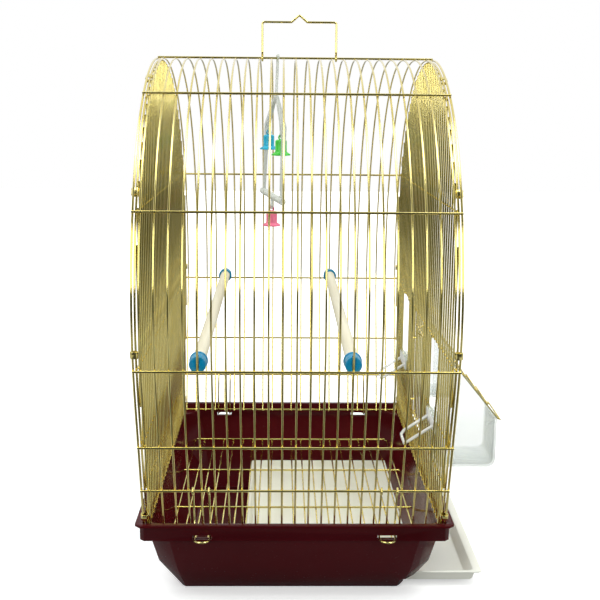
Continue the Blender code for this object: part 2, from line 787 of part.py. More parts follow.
def make_perches():
    """Two dowels along Y, each in two end caps that clasp a bar of the shell."""
    rise = math.degrees(math.asin((PERCH_Z - ARCH_Z) / (ARCH_R - BAR_INSET)))
    face = on_chord(rise, BAR_INSET)[1] - CAP_BITE
    inner_end = face - CAP_L
    for name, index in zip(("left", "right"), PERCH_BARS):
        x = bar_x(index)
        half = inner_end + CAP_BORE - GAP
        dowel = cylinder(f"perch_{name}", DOWEL_R, -half, half, 1, 12)
        smooth(add(f"perch_{name}", dowel, WOOD, Matrix.Translation((x, 0, PERCH_Z))))
        for side_name, side in (("near", -1), ("far", 1)):
            make_cap(f"perch_cap_{name}_{side_name}", x, side, face)


def make_cap(name, x, side, face):
    """Perch cap: a turned sleeve with a flange, a blind bore and a slot across its face."""
    bm = bmesh.new()
    bore_r = DOWEL_R + GAP
    profile = [
        (0.0, face),
        (CAP_R - ROUND, face),
        (CAP_R, face - ROUND),
        (CAP_R, face - CAP_L + CAP_FLANGE_T),
        (CAP_FLANGE_R, face - CAP_L + CAP_FLANGE_T),
        (CAP_FLANGE_R, face - CAP_L),
        (bore_r, face - CAP_L),
        (bore_r, face - CAP_L + CAP_BORE),
        (0.0, face - CAP_L + CAP_BORE),
    ]
    spots = [bm.verts.new((radius, 0.0, height)) for radius, height in profile]
    for a, b in zip(spots, spots[1:]):
        bm.edges.new((a, b))
    mesh = bpy.data.meshes.new(name)
    bm.to_mesh(mesh)
    bm.free()
    turn = Matrix.Rotation(side * -math.pi / 2, 4, "X")
    cap = add(name, mesh, CAP_BLUE, Matrix.Translation((x, 0, PERCH_Z)) @ turn)
    turned(cap, 12)
    low = (x - CAP_SLOT_W / 2, face - CAP_SLOT_D, PERCH_Z - CAP_FLANGE_R - ROUND)
    high = (x + CAP_SLOT_W / 2, face + ROUND, PERCH_Z + CAP_FLANGE_R + ROUND)
    if side < 0:
        low, high = (low[0], -high[1], low[2]), (high[0], -low[1], high[2])
    combine(cap, cutter(name + "_slot", box(name + "_slot", low, high)), "DIFFERENCE")
    smooth(cap)
    return cap


def turned(obj, steps):
    """Adds the Screw that turns a profile into a closed round body."""
    screw = obj.modifiers.new("turned", "SCREW")
    screw.axis = "Z"
    screw.steps = steps
    screw.render_steps = steps
    screw.use_merge_vertices = True
    screw.merge_threshold = 1e-5


def make_handle():
    """Carrying handle: one bent wire with an eye round the apex rail at each foot."""
    eye = RAIL_R + GAP + HANDLE_R
    turns = [math.radians(angle) for angle in HANDLE_EYE]
    eye_points = [(eye * math.cos(turn), eye * math.sin(turn)) for turn in turns]
    left, right = (bar_x(number) for number in HANDLE_FEET)
    middle = (left + right) / 2
    top = HANDLE_H
    points = [(left, y, z) for y, z in eye_points]
    points += [(left, 0, 2 * eye), (left, 0, top - HANDLE_CORNER), (left + HANDLE_CORNER, 0, top)]
    points += [(middle - HANDLE_PEAK_HALF, 0, top), (middle, 0, top + HANDLE_PEAK)]
    points += [(middle + HANDLE_PEAK_HALF, 0, top), (right - HANDLE_CORNER, 0, top)]
    points += [(right, 0, top - HANDLE_CORNER), (right, 0, 2 * eye)]
    points += [(right, y, z) for y, z in reversed(eye_points)]
    mesh = wire_mesh("handle", [(points, HANDLE_R, False)])
    return add("handle", mesh, GOLD, Matrix.Translation((0, 0, APEX_Z)))


def swing_place():
    """The swing's own frame: Y along the swing, X through it, origin on the apex rail."""
    yaw = Matrix.Rotation(math.radians(SWING_YAW), 4, "Z")
    lean = Matrix.Rotation(-math.radians(SWING_LEAN), 4, "Y")
    return Matrix.Translation((bar_x(SWING_BAR), 0, APEX_Z)) @ lean @ yaw


def upright(mesh):
    """Stands a plate made in its own XY plane up in the YZ plane."""
    turn = Matrix(((0, 0, 1, 0), (1, 0, 0, 0), (0, 1, 0, 0), (0, 0, 0, 1)))
    mesh.transform(turn)
    return mesh


def swing_shoulder(y):
    """Height of the middle of the swing's sloping shoulder at a place along it."""
    top = -SWING_STEM_LOW
    return top - (SWING_SHOULDER - SWING_STEM_LOW) * abs(y) / SWING_HALF


def bell_place(colour):
    """Place along the swing and drop under its hinge of the hole that a bell's loop hangs in."""
    side, hang = BELLS[colour]
    y = side * (SWING_HALF - BELL_SIDE)
    return y, hang - (swing_shoulder(y) if side else -SWING_BAR_DROP)


def make_swing():
    """Moulded swing: hook, stem, sloping shoulders, two arms, a crossbar and a lug for each bell."""
    half_band = SWING_BAND / 2
    stem = SWING_STEM_W / 2
    low = -SWING_BAR_DROP
    corner = -SWING_SHOULDER
    outer = [(stem, -HOOK_GAP - RAIL_R - HOOK_R), (-stem, -HOOK_GAP - RAIL_R - HOOK_R)]
    outer += [(-stem, -SWING_STEM_LOW + half_band), (-SWING_HALF - half_band, corner + half_band)]
    outer += [(-SWING_HALF - half_band, low), (SWING_HALF + half_band, low)]
    outer += [(SWING_HALF + half_band, corner + half_band), (stem, -SWING_STEM_LOW + half_band)]
    inner = [(0.0, -SWING_STEM_LOW - half_band), (SWING_HALF - half_band, corner - half_band / 2)]
    inner += [(SWING_HALF - half_band, low + SWING_BAR_R / 2)]
    inner += [(half_band - SWING_HALF, low + SWING_BAR_R / 2)]
    inner += [(half_band - SWING_HALF, corner - half_band / 2)]
    frame = upright(outline_mesh("swing_frame", [outer, inner], SWING_T))
    hook_ring = RAIL_R + HOOK_GAP + HOOK_R
    hook = [(0.0, y, z) for y, z in arc((0.0, 0.0), hook_ring, -90, 190, 9)]
    pieces = [wire_mesh("hook", [(hook, HOOK_R, False)])]
    bar = cylinder("crossbar", SWING_BAR_R, -SWING_BAR_HALF, SWING_BAR_HALF, 1, 10)
    bar.transform(Matrix.Translation((0, 0, low)))
    pieces.append(bar)
    for colour in BELLS:
        y, drop = bell_place(colour)
        top = swing_shoulder(y) if y else low
        lug = cylinder(f"lug_{colour}", LUG_R, -SWING_T / 2, SWING_T / 2, 0, 12)
        lug.transform(Matrix.Translation((0, y, -drop)))
        pieces.append(lug)
        corner_low = (-SWING_T / 2, y - LUG_NECK / 2, -drop + LUG_HOLE_R)
        corner_high = (SWING_T / 2, y + LUG_NECK / 2, top)
        pieces.append(box(f"neck_{colour}", corner_low, corner_high))
    swing = add("swing", welded("swing", frame, pieces), PALE, swing_place())
    for colour in BELLS:
        y, drop = bell_place(colour)
        hole = cylinder(f"hole_{colour}", LUG_HOLE_R, -SWING_T, SWING_T, 0, 8)
        place = swing_place() @ Matrix.Translation((0, y, -drop))
        combine(swing, cutter(f"hole_{colour}", hole, place), "DIFFERENCE")
    smooth(swing, 30)
    return swing


def make_bell(colour):
    """Bell on a loop through its lug on the swing: open below, with a flared rim."""
    y, drop = bell_place(colour)
    top = -BELL_LOOP_R - BELL_LOOP_R
    bottom = top - BELL_H
    waist = bottom + BELL_FLARE
    wall = BELL_WALL
    profile = [
        (0.0, top),
        (BELL_CROWN_R, top),
        (BELL_WAIST_R, top - BELL_WALL),
        (BELL_WAIST_R, waist),
        (BELL_MOUTH_R, bottom + wall),
        (BELL_MOUTH_R, bottom),
        (BELL_MOUTH_R - wall, bottom),
        (BELL_WAIST_R - wall, waist),
        (BELL_WAIST_R - wall, top - 2 * wall),
        (0.0, top - 2 * wall),
    ]
    bm = bmesh.new()
    spots = [bm.verts.new((radius, 0.0, height)) for radius, height in profile]
    for a, b in zip(spots, spots[1:]):
        bm.edges.new((a, b))
    mesh = bpy.data.meshes.new(f"bell_{colour}")
    bm.to_mesh(mesh)
    bm.free()
    place = swing_place() @ Matrix.Translation((0, y, -drop))
    level = Matrix.Translation(place.translation)
    bell = add(f"bell_{colour}", mesh, BELL_FINISH[colour], level)
    turned(bell, 10)
    loop_points = [(x, 0.0, z) for x, z in arc((0.0, -BELL_LOOP_R), BELL_LOOP_R, 0, 360, 8)][:-1]
    loop_mesh = wire_mesh(f"loop_{colour}", [(loop_points, BELL_LOOP_WIRE, True)])
    turn = Matrix.Rotation(math.radians(SWING_YAW), 4, "Z")
    combine(bell, cutter(f"loop_{colour}", loop_mesh, level @ turn), "UNION")
    smooth(bell)
    return bell


def make_latch(name, x_side, y_side):
    """Hold-down latch: one wire with eyes round rail e, legs down and a loop out of the slot."""
    eye_y, eye_z = rail_places()["e"]
    down = Vector((-math.sin(LEAN), -math.cos(LEAN)))
    start_turn = 180 - LEG_LEAN
    turns = [-60 + (start_turn + 60) * i / 5 for i in range(6)]
    eye = [Vector((math.cos(math.radians(t)), math.sin(math.radians(t)))) * LATCH_EYE for t in turns]
    sweep = math.hypot(LATCH_REACH - eye_y, LATCH_Z - eye_z)
    foot = eye[-1] + down * math.sqrt(sweep**2 - LATCH_EYE**2)
    begin = math.atan2(foot.y, foot.x)
    finish = math.atan2(LATCH_Z - eye_z, LATCH_REACH - eye_y)
    leg = [*eye, foot]
    for i in (1, 2):
        turn = begin + (finish - begin) * i / 2
        leg.append(Vector((math.cos(turn), math.sin(turn))) * sweep)
    points = [(-LATCH_HALF, spot.x, spot.y) for spot in leg]
    for i in range(1, 6):
        turn = math.pi * i / 6
        angle = finish + LATCH_HALF * math.sin(turn) / sweep
        points.append((-LATCH_HALF * math.cos(turn), sweep * math.cos(angle), sweep * math.sin(angle)))
    points += [(LATCH_HALF, spot.x, spot.y) for spot in reversed(leg)]
    points = [(x, y_side * y, z) for x, y, z in points]
    mesh = wire_mesh(name, [(points, LATCH_R, False)])
    place = Matrix.Translation((x_side * latch_x(), y_side * eye_y, eye_z))
    return add(name, mesh, GOLD, place)


def make_latches():
    """Two latches at the near foot of the shell and two at the far foot."""
    for x_name, x_side in (("left", -1), ("right", 1)):
        for y_name, y_side in (("near", -1), ("far", 1)):
            make_latch(f"latch_{x_name}_{y_name}", x_side, y_side)


def lid_directions():
    """Unit vectors down along a closed lid and square out of it, in X and Z."""
    lean = math.radians(LID_LEAN)
    return Vector((math.sin(lean), -math.cos(lean))), Vector((math.cos(lean), math.sin(lean)))


def lid_eye_half():
    """Distance of the lid's side wires from its middle: midway between the panel's bars."""
    return (FEEDER_BARS[1] - FEEDER_BARS[0] - 1) * BAR_PITCH / 2


def make_lid(name, y):
    """Wire lid: two side wires with eyes round rail c and cross wires welded on them."""
    along, outward = lid_directions()
    pivot_z = rail_places()["c"][1]
    toward = math.degrees(math.atan2(along.y, along.x))
    eye = [(x, z) for x, z in arc((0, 0), LID_EYE, toward + 320, toward, 8)]
    end = along * LID_LENGTH
    sides = []
    for half in (-lid_eye_half(), lid_eye_half()):
        path = [(x, half, z) for x, z in eye]
        sides.append((path + [(end.x, half, end.y)], LID_R, False))
    cross = []
    lift = outward * (2 * LID_R - LOOSE - LOOSE)
    reach = CUP_HALF + LID_OVERHANG
    for share in LID_CROSS:
        spot = along * LID_LENGTH * share + lift
        cross.append(([(spot.x, -reach, spot.y), (spot.x, reach, spot.y)], LID_R, False))
    mesh = welded(name, wire_mesh(name + "_sides", sides), [wire_mesh(name + "_cross", cross)])
    return add(name, mesh, GOLD, Matrix.Translation((OPEN_RAIL_X, y, pivot_z)))


def make_cup(name, y):
    """Clear feeder cup: raked side plates, a lip over rail d and a small landing perch inside."""
    along, outward = lid_directions()
    places = rail_places()
    pivot = Vector((OPEN_RAIL_X, places["c"][1]))
    drop = outward * (2 * LID_R - 2 * LOOSE - LID_R - GAP)

    def lid_line(x):
        return pivot.y + drop.y + along.y * (x - pivot.x - drop.x) / along.x

    round_centre = (CUP_FRONT_X - CUP_ROUND, CUP_LOW + CUP_ROUND)
    outer = [(CUP_BACK_X, CUP_LOW), *arc(round_centre, CUP_ROUND, -90, 0, 4)]
    outer += [(CUP_FRONT_X, lid_line(CUP_FRONT_X)), (CUP_BACK_X, lid_line(CUP_BACK_X))]
    plate = outline_mesh(name, [outer], 2 * CUP_HALF)
    mesh = across(plate)
    rail_z = places["d"][1]
    lip_low = rail_z + PANEL_RAIL_R + GAP
    lip_in = PANEL_BAR_X - BAR_R - GAP - LOOSE
    hook = [(CUP_BACK_X, lip_low), (CUP_BACK_X + CUP_WALL, lip_low)]
    hook += [(CUP_BACK_X + CUP_WALL, lip_low + CUP_LIP_T)]
    hook += [(lip_in - CUP_LIP_T, lip_low + CUP_LIP_T), (lip_in - CUP_LIP_T, rail_z - CUP_LIP_DROP)]
    hook += [(lip_in, rail_z - CUP_LIP_DROP), (lip_in, lip_low)]
    lip = across(outline_mesh(name + "_lip", [hook], 2 * (CUP_HALF - CUP_WALL)))
    arm_x = lip_in - CUP_LIP_T / 2
    arm_z = rail_z - CUP_LIP_DROP / 2
    end_x = arm_x - PERCH_ARM_REACH
    end_z = arm_z - PERCH_ARM_DROP
    bend = 2 * PERCH_ARM_R
    side = PERCH_ARM_HALF
    arms = [(arm_x, -side, arm_z), (end_x + bend, -side, end_z + bend), (end_x, bend - side, end_z)]
    arms += [(end_x, side - bend, end_z), (end_x + bend, side, end_z + bend), (arm_x, side, arm_z)]
    perch = wire_mesh(name + "_perch", [(arms, PERCH_ARM_R, False)])
    inner_r = CUP_ROUND - CUP_WALL
    inner = [(CUP_BACK_X + CUP_WALL, CUP_LOW + CUP_WALL), *arc(round_centre, inner_r, -90, 0, 3)]
    high = places["c"][1] + CUP_ROUND
    inner += [(CUP_FRONT_X - CUP_WALL, high), (CUP_BACK_X - CUP_WALL, high)]
    inner += [(CUP_BACK_X - CUP_WALL, lip_low + CUP_LIP_T / 2)]
    inner += [(CUP_BACK_X + CUP_WALL, lip_low + CUP_LIP_T / 2)]
    place = Matrix.Translation((0, y, 0))
    hollow_mesh = across(outline_mesh(name + "_hollow", [inner], 2 * (CUP_HALF - CUP_WALL)))
    hollow = cutter(name + "_hollow", hollow_mesh, place)
    cup = add(name, mesh, CLEAR, place)
    combine(cup, hollow, "DIFFERENCE")
    rim_z = lid_line(CUP_FRONT_X) - 2 * LID_R
    rim_low = (CUP_FRONT_X - 2 * CUP_WALL, CUP_WALL - CUP_HALF, rim_z)
    rim_high = (CUP_FRONT_X + CUP_WALL, CUP_HALF - CUP_WALL, rim_z + CUP_ROUND)
    combine(cup, cutter(name + "_rim", box(name + "_rim", rim_low, rim_high), place), "DIFFERENCE")
    combine(cup, cutter(name + "_hook", welded(name + "_hook", lip, [perch]), place), "UNION")
    return cup


def across(mesh):
    """Stands a plate made in its own XY plane up in the XZ plane."""
    turn = Matrix(((1, 0, 0, 0), (0, 0, -1, 0), (0, 1, 0, 0), (0, 0, 0, 1)))
    mesh.transform(turn)
    return mesh


def make_door():
    """Wire door between the panel's rails e and c: frame, bars, hinge eyes and a sprung catch."""
    places = rail_places()
    room = PANEL_RAIL_R + BAR_R + GAP
    low = places["e"][1] + room
    high = places["c"][1] - room
    half = bar_x(DOOR_BARS)
    middle = (low + high) / 2
    corners = [(DOOR_X, -half, low), (DOOR_X, half, low), (DOOR_X, half, high), (DOOR_X, -half, high)]
    frame = wire_mesh("door_frame", [(corners, BAR_R, True)])
    cross_z = high - DOOR_CROSS_DROP
    catch_x = PANEL_BAR_X - CATCH_REACH
    wires = []
    for index in range(1 - DOOR_BARS, DOOR_BARS):
        wires.append(([(DOOR_X, bar_x(index), z) for z in (low, high)], DOOR_WIRE_R, False))
    catch_y = bar_x(CATCH_BAR)
    catch = [(DOOR_X, catch_y, high), (catch_x, catch_y, (high + cross_z) / 2), (DOOR_X, catch_y, cross_z)]
    wires.append((catch, DOOR_WIRE_R, False))
    cross = [([(DOOR_X, y, cross_z) for y in (-half, half)], DOOR_WIRE_R, False)]
    for z in (low + DOOR_EYE_INSET, cross_z - DOOR_EYE_INSET):
        turns = arc((PANEL_BAR_X, half), DOOR_EYE, 0, 300, 8)
        cross.append(([(x, y, z) for x, y in turns], DOOR_WIRE_R, False))
    mesh = welded("door", frame, [wire_mesh("door_bars", wires), wire_mesh("door_cross", cross)])
    pivot = Matrix.Translation((PANEL_BAR_X, half, middle))
    mesh.transform(pivot.inverted())
    return add("door", mesh, GOLD, pivot)


def main():
    for obj in list(bpy.data.objects):
        bpy.data.objects.remove(obj)
    make_tub()
    make_tray()
    make_grate()
    make_shell()
    make_panel("panel_left", -1, panel_openings(False))
    make_panel("panel_right", 1, panel_openings(True))
    make_clips()
    make_perches()
    make_handle()
    make_swing()
    for colour in BELLS:
        make_bell(colour)
    make_latches()
    for name, side in (("near", -1), ("far", 1)):
        make_lid(f"feeder_lid_{name}", side * FEEDER_Y)
        make_cup(f"feeder_cup_{name}", side * FEEDER_Y)
    make_door()


main()
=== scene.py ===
# %% [markdown]
# # A wire bird cage on a plastic tub
#
# The cage is an arched top of welded brass-plated wire that stands in a maroon plastic tub. The packed
# CAD model is loaded first and never moved. The pieces made below dress it: each stands for plain solids.

import math

import bmesh
import bpy
from mathutils import Matrix, Vector


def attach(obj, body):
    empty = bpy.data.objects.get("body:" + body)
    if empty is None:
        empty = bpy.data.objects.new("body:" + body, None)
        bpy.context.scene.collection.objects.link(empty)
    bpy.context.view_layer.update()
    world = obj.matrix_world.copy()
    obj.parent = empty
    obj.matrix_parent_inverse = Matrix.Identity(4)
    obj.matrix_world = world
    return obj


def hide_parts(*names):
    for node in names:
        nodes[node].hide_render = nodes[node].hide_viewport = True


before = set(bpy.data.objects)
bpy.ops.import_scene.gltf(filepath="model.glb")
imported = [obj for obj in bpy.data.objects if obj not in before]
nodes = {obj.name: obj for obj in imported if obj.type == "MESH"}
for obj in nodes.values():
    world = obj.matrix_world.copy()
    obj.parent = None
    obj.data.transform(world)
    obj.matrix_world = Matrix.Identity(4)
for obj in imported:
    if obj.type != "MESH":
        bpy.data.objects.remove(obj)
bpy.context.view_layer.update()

# %% [markdown]
# ## Camera
#
# The photograph looks at one narrow side of the cage, from just under the height of its top and from
# about a metre away. A camera could be set by eye, but wire shows every small error. So its place, its
# turns (in degrees) and its lens (in millimetres) come from a fit of the cage's rails to the picture.


# %% Camera
def in_scene(name, data):
    """A new object that holds the data, linked to the scene."""
    made = bpy.data.objects.new(name, data)
    bpy.context.scene.collection.objects.link(made)
    return made


CAMERA_AT = Vector((-0.0143, -1.066, 0.4657))
YAW, PITCH, ROLL = (math.radians(a) for a in (1.12, 11.35, 0.49))
LENS, SENSOR = 61.1, 36.0

forward = Vector((math.sin(YAW) * math.cos(PITCH), math.cos(YAW) * math.cos(PITCH), -math.sin(PITCH)))
level = Vector((math.cos(YAW), -math.sin(YAW), 0))
up = level.cross(forward)
right = level * math.cos(ROLL) + up * math.sin(ROLL)
top = up * math.cos(ROLL) - level * math.sin(ROLL)
camera = in_scene("camera", bpy.data.cameras.new("camera"))
camera.matrix_world = Matrix((right, top, -forward)).transposed().to_4x4()
camera.location = CAMERA_AT
camera.data.lens = LENS
camera.data.sensor_width = SENSOR
bpy.context.scene.camera = camera
bpy.context.scene.view_settings.view_transform = "Standard"
print("camera looks along", [round(v, 3) for v in forward])

# %% [markdown]
# ## World, floor and lamps
#
# A product photograph has a white sweep behind and beside the object, softboxes, and a dark room behind
# the camera. The dark room matters, because bright wire is a row of small round mirrors, and only
# something dark in front gives it the olive core that the photograph shows. Two bright bands on the near
# bars tell where the lamps are, because a bar lights up where its slope mirrors a lamp: a pair 18 degrees
# up, and a pair high over the cage. The level rails mirror only what lies straight ahead, and they are
# dark, so each pair stands apart, left and right of a dark strip of table.
#
# Two small helpers come first, because every node tree below is built with them.


# %% Node helpers
def node(tree, kind, **settings):
    """A node with its properties and its unlinked inputs set in one line."""
    made = tree.nodes.new(kind)
    for key, value in settings.items():
        if key.startswith("in_"):
            socket = int(key[3:]) if key[3:].isdigit() else key[3:].replace("_", " ")
            made.inputs[socket].default_value = value
        else:
            setattr(made, key, value)
    return made


def wire_up(tree, *pairs):
    """Links each pair of (output socket, input socket)."""
    for output, target in pairs:
        tree.links.new(output, target)


print("node helpers ready")

# %% [markdown]
# The world could be a picture of a studio. Here nodes draw it, because only two edges matter: where the
# sweep begins, beside the camera, and where the table cuts it off below. The camera and rays through
# clear plastic see plain white all round. Wires see the white only where the sweep stands.

# %% World
BACKDROP, ROOM, ROOM_LEVEL = (0.98, 1.0, 0.985), (0.85, 1.0, 0.80), 0.07
SWEEP_BEGINS = {"in_1": -0.60, "in_2": 0.10}
TABLE_CUTS = {"in_1": -0.10, "in_2": 0.10, "in_3": 0.35, "in_4": 1.0}

world = bpy.data.worlds.new("studio")
bpy.context.scene.world = world
world.use_nodes = True
sky = world.node_tree
sky.nodes.clear()
direction = node(sky, "ShaderNodeTexCoord")
split = node(sky, "ShaderNodeSeparateXYZ")
sweep_edge = node(sky, "ShaderNodeMapRange", interpolation_type="SMOOTHSTEP", **SWEEP_BEGINS)
table_edge = node(sky, "ShaderNodeMapRange", **TABLE_CUTS)
lit_part = node(sky, "ShaderNodeMath", operation="MULTIPLY")
dark_room = node(sky, "ShaderNodeBackground", in_Color=(*ROOM, 1), in_Strength=ROOM_LEVEL)
bright_sweep = node(sky, "ShaderNodeBackground", in_Color=(*BACKDROP, 1))
room = node(sky, "ShaderNodeMixShader")
rays = node(sky, "ShaderNodeLightPath")
backdrop = node(sky, "ShaderNodeBackground", in_Color=(1, 1, 1, 1))
seen = node(sky, "ShaderNodeMath", operation="MAXIMUM")
mirrored = node(sky, "ShaderNodeMath", operation="MULTIPLY")
shown = node(sky, "ShaderNodeMath", operation="MAXIMUM")
mix = node(sky, "ShaderNodeMixShader")
out = node(sky, "ShaderNodeOutputWorld")
wire_up(
    sky,
    (direction.outputs["Generated"], split.inputs[0]),
    (split.outputs["Y"], sweep_edge.inputs[0]),
    (split.outputs["Z"], table_edge.inputs[0]),
    (sweep_edge.outputs[0], lit_part.inputs[0]),
    (table_edge.outputs[0], lit_part.inputs[1]),
    (lit_part.outputs[0], room.inputs[0]),
    (dark_room.outputs[0], room.inputs[1]),
    (bright_sweep.outputs[0], room.inputs[2]),
    (rays.outputs["Is Camera Ray"], seen.inputs[0]),
    (rays.outputs["Is Transmission Ray"], seen.inputs[1]),
    (rays.outputs["Is Glossy Ray"], mirrored.inputs[0]),
    (lit_part.outputs[0], mirrored.inputs[1]),
    (seen.outputs[0], shown.inputs[0]),
    (mirrored.outputs[0], shown.inputs[1]),
    (shown.outputs[0], mix.inputs[0]),
    (room.outputs[0], mix.inputs[1]),
    (backdrop.outputs[0], mix.inputs[2]),
    (mix.outputs[0], out.inputs[0]),
)
print("world with", len(sky.nodes), "nodes")

# %% [markdown]
# The camera sees the floor as white paper that keeps the cage's soft shadow, and glows more with
# distance, so that no edge shows before the white world. The wires mirror a grey table instead, with a
# dark strip straight in front of the cage. Two planes could do this, but one whose material answers each
# kind of ray is simpler.

# %% Floor
FLOOR_SIZE, FLOOR_Z = 8.0, -0.0005
PAPER = (0.86, 0.87, 0.87, 1)
STRIP_SIDE = {"in_1": 0.22, "in_2": 0.34}
STRIP_BACK = {"in_1": -0.30, "in_2": -0.24}
TABLE_FRONT = {"in_1": -1.20, "in_2": -0.90}
TABLE_TONE = {"in_3": 0.05, "in_4": 0.42}
GLOW_BY_DISTANCE = {"in_1": 0.40, "in_2": 1.20, "in_3": 0.40, "in_4": 1.00}

bpy.ops.mesh.primitive_plane_add(size=FLOOR_SIZE, location=(0, 0, FLOOR_Z))
floor = bpy.context.object
floor.name = "floor"
floor_paint = bpy.data.materials.new("floor_white")
floor_paint.use_nodes = True
tree = floor_paint.node_tree
tree.nodes.clear()
rays = node(tree, "ShaderNodeLightPath")
spread = node(tree, "ShaderNodeTexCoord")
split = node(tree, "ShaderNodeSeparateXYZ")
aside = node(tree, "ShaderNodeMath", operation="ABSOLUTE")
beside = node(tree, "ShaderNodeMapRange", **STRIP_SIDE)
behind = node(tree, "ShaderNodeMapRange", **STRIP_BACK)
near_edge = node(tree, "ShaderNodeMapRange", **TABLE_FRONT)
off_strip = node(tree, "ShaderNodeMath", operation="MAXIMUM")
on_table = node(tree, "ShaderNodeMath", operation="MULTIPLY")
table = node(tree, "ShaderNodeMapRange", **TABLE_TONE)
lit_paint = node(tree, "ShaderNodeBsdfDiffuse")
paint = node(tree, "ShaderNodeBsdfDiffuse", in_Color=PAPER)
far_off = node(tree, "ShaderNodeVectorMath", operation="LENGTH")
whiter = node(tree, "ShaderNodeMapRange", **GLOW_BY_DISTANCE)
glow = node(tree, "ShaderNodeEmission", in_Color=(1, 1, 1, 1))
lifted = node(tree, "ShaderNodeAddShader")
seen = node(tree, "ShaderNodeMath", operation="MAXIMUM")
mix = node(tree, "ShaderNodeMixShader")
out = node(tree, "ShaderNodeOutputMaterial")
wire_up(
    tree,
    (spread.outputs["Object"], split.inputs[0]),
    (split.outputs["X"], aside.inputs[0]),
    (aside.outputs[0], beside.inputs[0]),
    (split.outputs["Y"], behind.inputs[0]),
    (split.outputs["Y"], near_edge.inputs[0]),
    (beside.outputs[0], off_strip.inputs[0]),
    (behind.outputs[0], off_strip.inputs[1]),
    (off_strip.outputs[0], on_table.inputs[0]),
    (near_edge.outputs[0], on_table.inputs[1]),
    (on_table.outputs[0], table.inputs[0]),
    (table.outputs[0], lit_paint.inputs["Color"]),
    (spread.outputs["Object"], far_off.inputs[0]),
    (far_off.outputs["Value"], whiter.inputs[0]),
    (whiter.outputs[0], glow.inputs["Strength"]),
    (paint.outputs[0], lifted.inputs[0]),
    (glow.outputs[0], lifted.inputs[1]),
    (rays.outputs["Is Camera Ray"], seen.inputs[0]),
    (rays.outputs["Is Transmission Ray"], seen.inputs[1]),
    (seen.outputs[0], mix.inputs[0]),
    (lit_paint.outputs[0], mix.inputs[1]),
    (lifted.outputs[0], mix.inputs[2]),
    (mix.outputs[0], out.inputs[0]),
)
floor.data.materials.append(floor_paint)
print("floor", FLOOR_SIZE, "m")

# %% [markdown]
# A softbox is a lit rectangle, so it is an area lamp. What counts in a row of mirrors is how bright its
# face looks, whatever its size. The helper takes that brightness and works out the power. The front pair
# is set by height and bearing, in degrees, and the upper pair by its place.


# %% Lamps
def softbox(name, place, aim, width, height, radiance):
    """A rectangular area lamp at place that faces aim, as bright as radiance to look at."""
    lamp = bpy.data.lights.new(name, "AREA")
    lamp.shape = "RECTANGLE"
    lamp.size = width
    lamp.size_y = height
    lamp.energy = radiance * math.pi * width * height
    held = in_scene(name, lamp)
    held.location = place
    held.rotation_mode = "QUATERNION"
    held.rotation_quaternion = (Vector(aim) - Vector(place)).to_track_quat("-Z", "Y")


MIDDLE = Vector((0, 0, 0.28))
FRONT_HEIGHT, FRONT_BEARING, FRONT_DISTANCE = 17.5, 38, 1.9
FRONT_BOX = {"width": 0.75, "height": 0.85, "radiance": 5.6}
OVER_SIDE, OVER_BACK, OVER_UP = 0.85, -0.42, 1.8
OVER_BOX = {"width": 1.1, "height": 0.75, "radiance": 6.5}


def placed(elevation, azimuth, distance):
    """A place seen from the cage's middle: azimuth 0 is the camera's side, positive to the right."""
    up, turn = math.radians(elevation), math.radians(azimuth)
    level = Vector((math.sin(turn), -math.cos(turn), 0))
    return MIDDLE + distance * (level * math.cos(up) + Vector((0, 0, math.sin(up))))


for side in (-1, 1):
    front = placed(FRONT_HEIGHT, side * FRONT_BEARING, FRONT_DISTANCE)
    softbox(f"front_box_{side}", front, MIDDLE, **FRONT_BOX)
    over = MIDDLE + Vector((side * OVER_SIDE, OVER_BACK, OVER_UP))
    softbox(f"over_box_{side}", over, MIDDLE, **OVER_BOX)
print("four softboxes")

# %% [markdown]
# ## Finishes
#
# Every finish is built from nodes on the piece's own object coordinates, so that it moves with the piece.
# Flat colours would look like a toy, and a picture wrapped round wire would need seams. So each helper
# below adds one thing to a plain shader: noise, a range, a blend of two colours, or relief.


# %% Shader and noise
def finish(name, colour, roughness, **sockets):
    """A material with a Principled shader, object coordinates and its output ready to be linked."""
    made = bpy.data.materials.new(name)
    made.use_nodes = True
    made.diffuse_color = (*colour, 1)
    shader = made.node_tree.nodes["Principled BSDF"]
    shader.inputs["Base Color"].default_value = (*colour, 1)
    shader.inputs["Roughness"].default_value = roughness
    for key, value in sockets.items():
        shader.inputs[key.replace("_", " ")].default_value = value
    place = node(made.node_tree, "ShaderNodeTexCoord")
    return made, shader, place.outputs["Object"]


def noise(made, vector, scale, detail=3.0, stretch=(1, 1, 1)):
    """Noise over the piece, stretched along an axis where a grain runs."""
    tree = made.node_tree
    mapping = node(tree, "ShaderNodeMapping", in_Scale=stretch)
    texture = node(tree, "ShaderNodeTexNoise", in_Scale=scale, in_Detail=detail)
    wire_up(tree, (vector, mapping.inputs["Vector"]), (mapping.outputs[0], texture.inputs["Vector"]))
    return texture.outputs["Fac"]


print("shader and noise ready")


# %% Ranges, blends and relief
def ranged(made, value, low, high, start=0.3, end=0.7):
    """A value stretched from start..end to low..high."""
    span = node(made.node_tree, "ShaderNodeMapRange", in_1=start, in_2=end, in_3=low, in_4=high)
    wire_up(made.node_tree, (value, span.inputs[0]))
    return span.outputs[0]


def blended(made, factor, first, second):
    """A colour between two, by a factor."""
    mixed = node(made.node_tree, "ShaderNodeMix", data_type="RGBA", in_6=(*first, 1), in_7=(*second, 1))
    wire_up(made.node_tree, (factor, mixed.inputs[0]))
    return mixed.outputs[2]


def linked(made, shader, factor, first, second, roughness):
    """Links a colour that varies between two by a factor, and a roughness, to the shader."""
    tint = blended(made, ranged(made, factor, 0, 1), first, second)
    wire_up(made.node_tree, (tint, shader.inputs["Base Color"]), (roughness, shader.inputs["Roughness"]))


